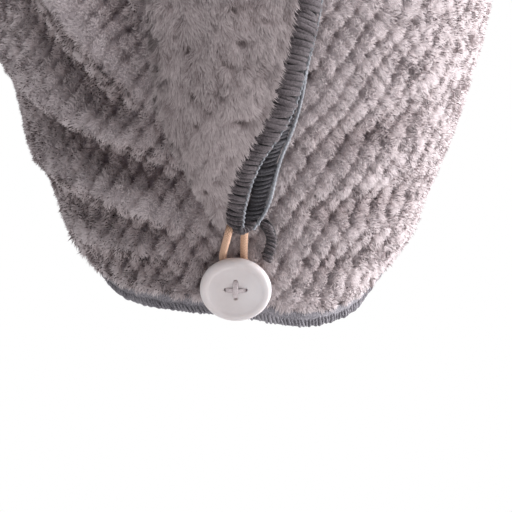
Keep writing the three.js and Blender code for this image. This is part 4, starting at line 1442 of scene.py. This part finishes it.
ribs_painted = add_node(
    rib_tree, "GeometryNodeSetMaterial", {"Geometry": ribs_real, "Material": given["Material"]}
)
rib_tree.links.new(ribs_painted.outputs[0], rib_end.inputs["Geometry"])
print("rib tree has", len(rib_tree.nodes), "nodes")

# %% [markdown]
# Each edging is made of the rolled band, the ribs over it, and, on the tail, the looper thread along the
# outer border. The ribs are as far apart as stitches of an overlock machine on thick cloth, about 1.9 mm,
# and a little closer on the rim.

# %% Making the edgings
rib_pitch = 1.9 * MM
rim_pitch = 1.6 * MM
rib_thread = 0.55 * MM


def make_ribs(name, rows, closed, slant, thickness_share, seed, finish, pitch=rib_pitch):
    """The slanting ribs of thread round a band."""
    at = stepped(rows, pitch, closed)
    points = bpy.data.meshes.new(name + "_points")
    chance = np.random.RandomState(seed)
    jitter = chance.normal(0, 0.12 * MM, (len(at), 3))
    points.from_pydata((at[:, :3] + jitter).tolist(), [], [])
    write_values(points, "side", unit(at[:, 3:6] + chance.normal(0, 0.08, (len(at), 3))))
    write_values(points, "up", at[:, 6:9])
    usual = np.median(at[:, 9])
    write_values(points, "grow", at[:, 9] / usual * chance.uniform(0.88, 1.12, len(at)))
    holder = link(name + "_points", points)
    mesh = run_tree(
        holder,
        rib_tree,
        {
            "Rib Reach": usual / 2 - 0.3 * MM,
            "Rib Height": float(np.median(at[:, 10])) / 2 * thickness_share,
            "Thread": rib_thread,
            "Slant": slant,
            "Material": finish,
        },
    )
    bpy.data.objects.remove(holder)
    return link(name, mesh)


def make_band(name, rows, closed, share, finish=shaded_band_finish):
    """The rolled band of cloth under the ribs."""
    at = stepped(rows, 1.2 * MM, closed)
    ring = round_outline(len(at), 12, 1.0)
    outline = ring * np.stack([at[:, 9] / 2, at[:, 10] / 2 * share], axis=1)[:, None, :]
    return sweep(name, at[:, :3], at[:, 3:6], at[:, 6:9], outline, closed, finish)


def make_looper(name, rows, radius, wave):
    """The pale thread that runs along the outer border and loops at each rib."""
    at = stepped(rows, rib_pitch / 6, False)
    run = np.arange(len(at)) * rib_pitch / 6
    swing = np.sin(run * 2 * math.pi / rib_pitch)
    line = (
        at[:, :3]
        + at[:, 3:6] * (at[:, 9:10] / 2 + (0.25 * MM + wave * swing[:, None]))
        + at[:, 6:9] * (0.5 * at[:, 10:11])
    )
    outline = round_outline(len(at), 6, radius)
    return sweep(name, line, at[:, 3:6], at[:, 6:9], outline, False, looper_finish)


def finish_edging(piece, node):
    """Puts a piece of edging on the towel, in place of a CAD node where one is given."""
    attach(piece, "root")
    if node:
        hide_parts(node)


rim_band = make_band("rim_band", rim_core, True, 0.8, lit_rim_thread_finish)
rim_ribs = make_ribs("rim_ribs", rim_rows, True, 0.45, 0.85, 1, lit_rim_thread_finish, rim_pitch)
top_band = make_band("tail_band_top", top_rows, False, 0.8)
top_ribs = make_ribs("tail_ribs_top", top_rows, False, -0.3, 0.85, 2, rib_finish)
top_looper = make_looper("tail_looper_top", top_rows, 0.36 * MM, 0.22 * MM)
under_band = make_band("tail_band_under", under_rows, False, 0.8)
under_ribs = make_ribs("tail_ribs_under", under_rows, False, 0.1, 0.8, 3, shaded_fold_thread_finish)
round_the_tip = np.vstack([under_rows, tip_rows[::-1][1:4]])
under_looper = make_looper("tail_looper_under", round_the_tip, 0.75 * MM, 0.15 * MM)
tip_band = make_band("tail_band_tip", tip_rows, False, 0.85)
tip_ribs = make_ribs("tail_ribs_tip", tip_rows, False, 0.1, 0.85, 5, rib_finish)
for piece, node in (
    (rim_band, "rim_edge"),
    (rim_ribs, None),
    (top_band, "tail_edge_top"),
    (top_ribs, None),
    (top_looper, None),
    (under_band, "tail_edge_under"),
    (under_ribs, None),
    (under_looper, None),
    (tip_band, None),
    (tip_ribs, None),
):
    finish_edging(piece, node)
for piece in (rim_ribs, top_ribs, under_ribs):
    print(piece.name, "has", len(piece.data.polygons), "faces")

# %% [markdown]
# Beside the loop a short end of seam shows. It is overlocked like the edges, and curves to the right.

# %% The seam's end
seam_low, seam_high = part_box("nape_seam")
seam_planes = []
for share in np.linspace(0.03, 0.97, 22):
    height = seam_low.z + (seam_high.z - seam_low.z) * (1 - share)
    seam_planes.append((np.array([0, 0, height]), np.array([0, 0, 1.0]), np.array([0, -1.0, 0])))
seam_rows = settled(band_sections("nape_seam", seam_planes, sideways, np.array([0, -1.0, 0])), False, 3)
seam_band = make_band("seam_band", seam_rows, False, 0.85)
seam_ribs = make_ribs("seam_ribs", seam_rows, False, 0.5, 0.9, 4, rib_finish)
finish_edging(seam_band, "nape_seam")
finish_edging(seam_ribs, None)
print("seam", len(seam_rows), "sections, width mm", round(float(seam_rows[:, 9].mean()) / MM, 2))

# %% [markdown]
# The hood's pile is short and stands in tufts. It is left out under the tail and thinned under the button
# and the loop, where it is pressed flat. Near the rim it leans down over the edging.

# %% Pile on the hood
hood_mound = 1.9 * MM
below_hood_pile = 0.5 * MM
places, normals = hood_ground["places"], hood_ground["normals"]
from_centre = places - head_centre
outside = (from_centre * normals).sum(axis=1) > 0.25 * np.linalg.norm(from_centre, axis=1)
under_tail = sight_of(places, normals, "tail", 30 * MM)
under_tail |= sight_of(places, normals, "tail_edge_under", 20 * MM)
near_loop = distance_to(places, [tuple(p) for p in loop_route])
near_seam = distance_to(places, seam_rows[:, :3])
near_button = np.linalg.norm(places - np.array(button_origin), axis=1)
near_rim = distance_to(places, np.vstack([rim_rows[:, :3], rim_rows[:1, :3]]))
hood_cover = np.where(outside & ~under_tail, 1.0, 0.0)
hood_cover *= np.clip((near_seam - 1.0 * MM) / (2 * MM), 0, 1)
hood_stature = 1.0 + 0.25 * smooth_noise(places, 6 * MM, 21)
hood_stature *= np.clip(0.5 + near_loop / (7 * MM), 0.5, 1)
hood_stature *= np.clip(0.6 + (near_button - 8 * MM) / (14 * MM), 0.6, 1)
hood_comb = noise_vectors(places, 7 * MM, 31) * 0.9 + noise_vectors(places, 2.6 * MM, 41) * 0.9
hood_comb += hood_ground["down"] * 0.2
rim_pull = np.clip(1 - (near_rim - 3 * MM) / (6 * MM), 0, 1)[:, None]
hood_stature *= 1 + rim_pull[:, 0] * (0.4 + 0.5 * np.clip(-places[:, 0] / (20 * MM), 0, 1))
hood_comb = hood_comb * (1 - 0.5 * rim_pull) + hood_ground["down"] * rim_pull * 0.8
hood_values = {
    "Length": 1.7 * MM,
    "Width": 0.5 * MM,
    "Curl": -0.3 * MM,
    "Lean": 0.8,
    "Scatter": 0.45,
    "Mound": hood_mound,
    "Segments": 2,
    **hood_waffle,
}
azimuth = np.degrees(np.arctan2(places[:, 0], -places[:, 1]))
back = (np.abs(azimuth) < 112) & (places[:, 2] < -12 * MM)
# Strands for each square metre, and fewer but wider ones at the front
back_density = 4.75e6
front_density = 2.6e6
regions = {
    "hood_pile_left": (back & (azimuth < 0), back_density, 1),
    "hood_pile_right": (back & (azimuth >= 0), back_density, 2),
    "hood_pile_front": (~back, front_density, 3),
}
hood_piles = []
for name, (inside, density, seed) in regions.items():
    chosen = {**hood_values, "Density": density, "Seed": seed}
    if name == "hood_pile_front":
        chosen["Width"] = 0.8 * MM
    cover = hood_cover * inside
    hood_piles.append(
        grow_pile(hood, name, pile_finish, hood_lattice, cover, hood_comb, hood_stature, 0.0, chosen)
    )
sink_cloth(hood, cloth_finish, hood_ground, hood_waffle, hood_mound, below_hood_pile)

# %% [markdown]
# The tail's pile is longer and was combed down towards its tip. Its strands lie close, with small
# partings darkened by painted shade, and along the open side they hang out over the edging.

# %% Pile on the tail
tail_mound = 1.5 * MM
below_tail_pile = 0.4 * MM
places, normals = tail_ground["places"], tail_ground["normals"]
from_axis = places - head_centre
near_top_edge = distance_to(places, top_rows[:, :3])
near_under_edge = distance_to(places, under_rows[:, :3])
from_head = unit(from_axis * np.array([0, 1.0, 1.0]))
facing_out = (normals * from_head).sum(axis=1)
inner_side = ((facing_out < 0.0) & (near_top_edge < 14 * MM)) | (near_under_edge < 9 * MM)
tail_cover = np.where((tail_ground["outer"] > 0.4) & ~inner_side, 1.0, 0.0)
fringe = np.clip(1 - (near_top_edge - 3 * MM) / (6 * MM), 0, 1)
tail_stature = 1.0 + 0.2 * smooth_noise(places, 8 * MM, 51) + 0.45 * fringe
tail_comb = (
    tail_ground["down"] * 1.1
    + noise_vectors(places, 10 * MM, 61) * 0.8
    + noise_vectors(places, 3.5 * MM, 71) * 1.2
    + tail_ground["side"] * fringe[:, None] * 1.1
)
tail_pile = grow_pile(
    tail,
    "tail_pile",
    shaded_tail_pile_finish,
    tail_lattice,
    tail_cover,
    tail_comb,
    tail_stature,
    0.5,
    {
        "Density": 5.5e6,
        "Length": 3.0 * MM,
        "Width": 0.5 * MM,
        "Curl": -0.5 * MM,
        "Lean": 1.1,
        "Scatter": 0.3,
        "Mound": tail_mound,
        "Segments": 2,
        "Seed": 4,
        **tail_waffle,
    },
)
sink_cloth(tail, shaded_tail_ground_finish, tail_ground, tail_waffle, tail_mound, below_tail_pile)

# %% [markdown]
# Every piece rides on the part's one body.

# %% Riding on the body
for piece in (hood, tail, tail_pile, *hood_piles):
    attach(piece, "root")
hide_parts("hood")
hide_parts("tail")
total = sum(sum(len(p.vertices) - 2 for p in o.data.polygons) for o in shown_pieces() if o.type == "MESH")
print("triangles in all", total)

# %% [markdown]
# The stage is a plain pale floor and background. A large soft light stands on the right, as in the
# photograph, and a weaker one fills from above.

# %% Stage and light
bpy.context.scene.view_settings.view_transform = "Standard"
floor_finish, tree, shader = new_material("plain pale floor")
set_values(shader, {"Base Color": linear("#F4F3F2"), "Roughness": 0.9})
floor_mesh = bpy.data.meshes.new("floor")
floor_form = bmesh.new()
bmesh.ops.create_circle(
    floor_form, cap_ends=True, segments=96, radius=1.5, matrix=Matrix.Translation((0, 0, -0.45))
)
floor_form.to_mesh(floor_mesh)
floor_form.free()
floor_mesh.materials.append(floor_finish)
floor = link("floor", floor_mesh)
floor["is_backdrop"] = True

world = bpy.data.worlds.new("studio")
bpy.context.scene.world = world
world.use_nodes = True
sky = world.node_tree
for node in list(sky.nodes):
    sky.nodes.remove(node)
seen = add_node(sky, "ShaderNodeLightPath").outputs["Is Camera Ray"]
soft_room = add_node(sky, "ShaderNodeBackground", {"Color": linear("#F1F0F4"), "Strength": 0.52})
paper = add_node(sky, "ShaderNodeBackground", {"Color": (1, 1, 1, 1), "Strength": 1.0})
sky_mix = add_node(sky, "ShaderNodeMixShader", [seen, soft_room, paper])
add_node(sky, "ShaderNodeOutputWorld", {"Surface": sky_mix})


def add_light(name, place, aim, size, watts, colour):
    """A soft square light that looks at a place."""
    lamp = bpy.data.lights.new(name, "AREA")
    lamp.size = size
    lamp.energy = watts
    lamp.color = linear(colour)[:3]
    light = bpy.data.objects.new(name, lamp)
    light.location = place
    light.rotation_mode = "QUATERNION"
    light.rotation_quaternion = (Vector(aim) - Vector(place)).to_track_quat("-Z", "Y")
    bpy.context.scene.collection.objects.link(light)


add_light("key from the right", (1.5, 0.2, -0.32), (0, 0, -0.12), 1.0, 57, "#FCFBFF")
add_light("fill from above", (0.1, -0.9, 1.35), (0, 0, -0.12), 1.0, 15, "#FBFAFF")
print("stage ready")

# %% Sizes and the end
low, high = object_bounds()
print("visual box in mm", [round(v / MM, 1) for v in (*low, *high)])
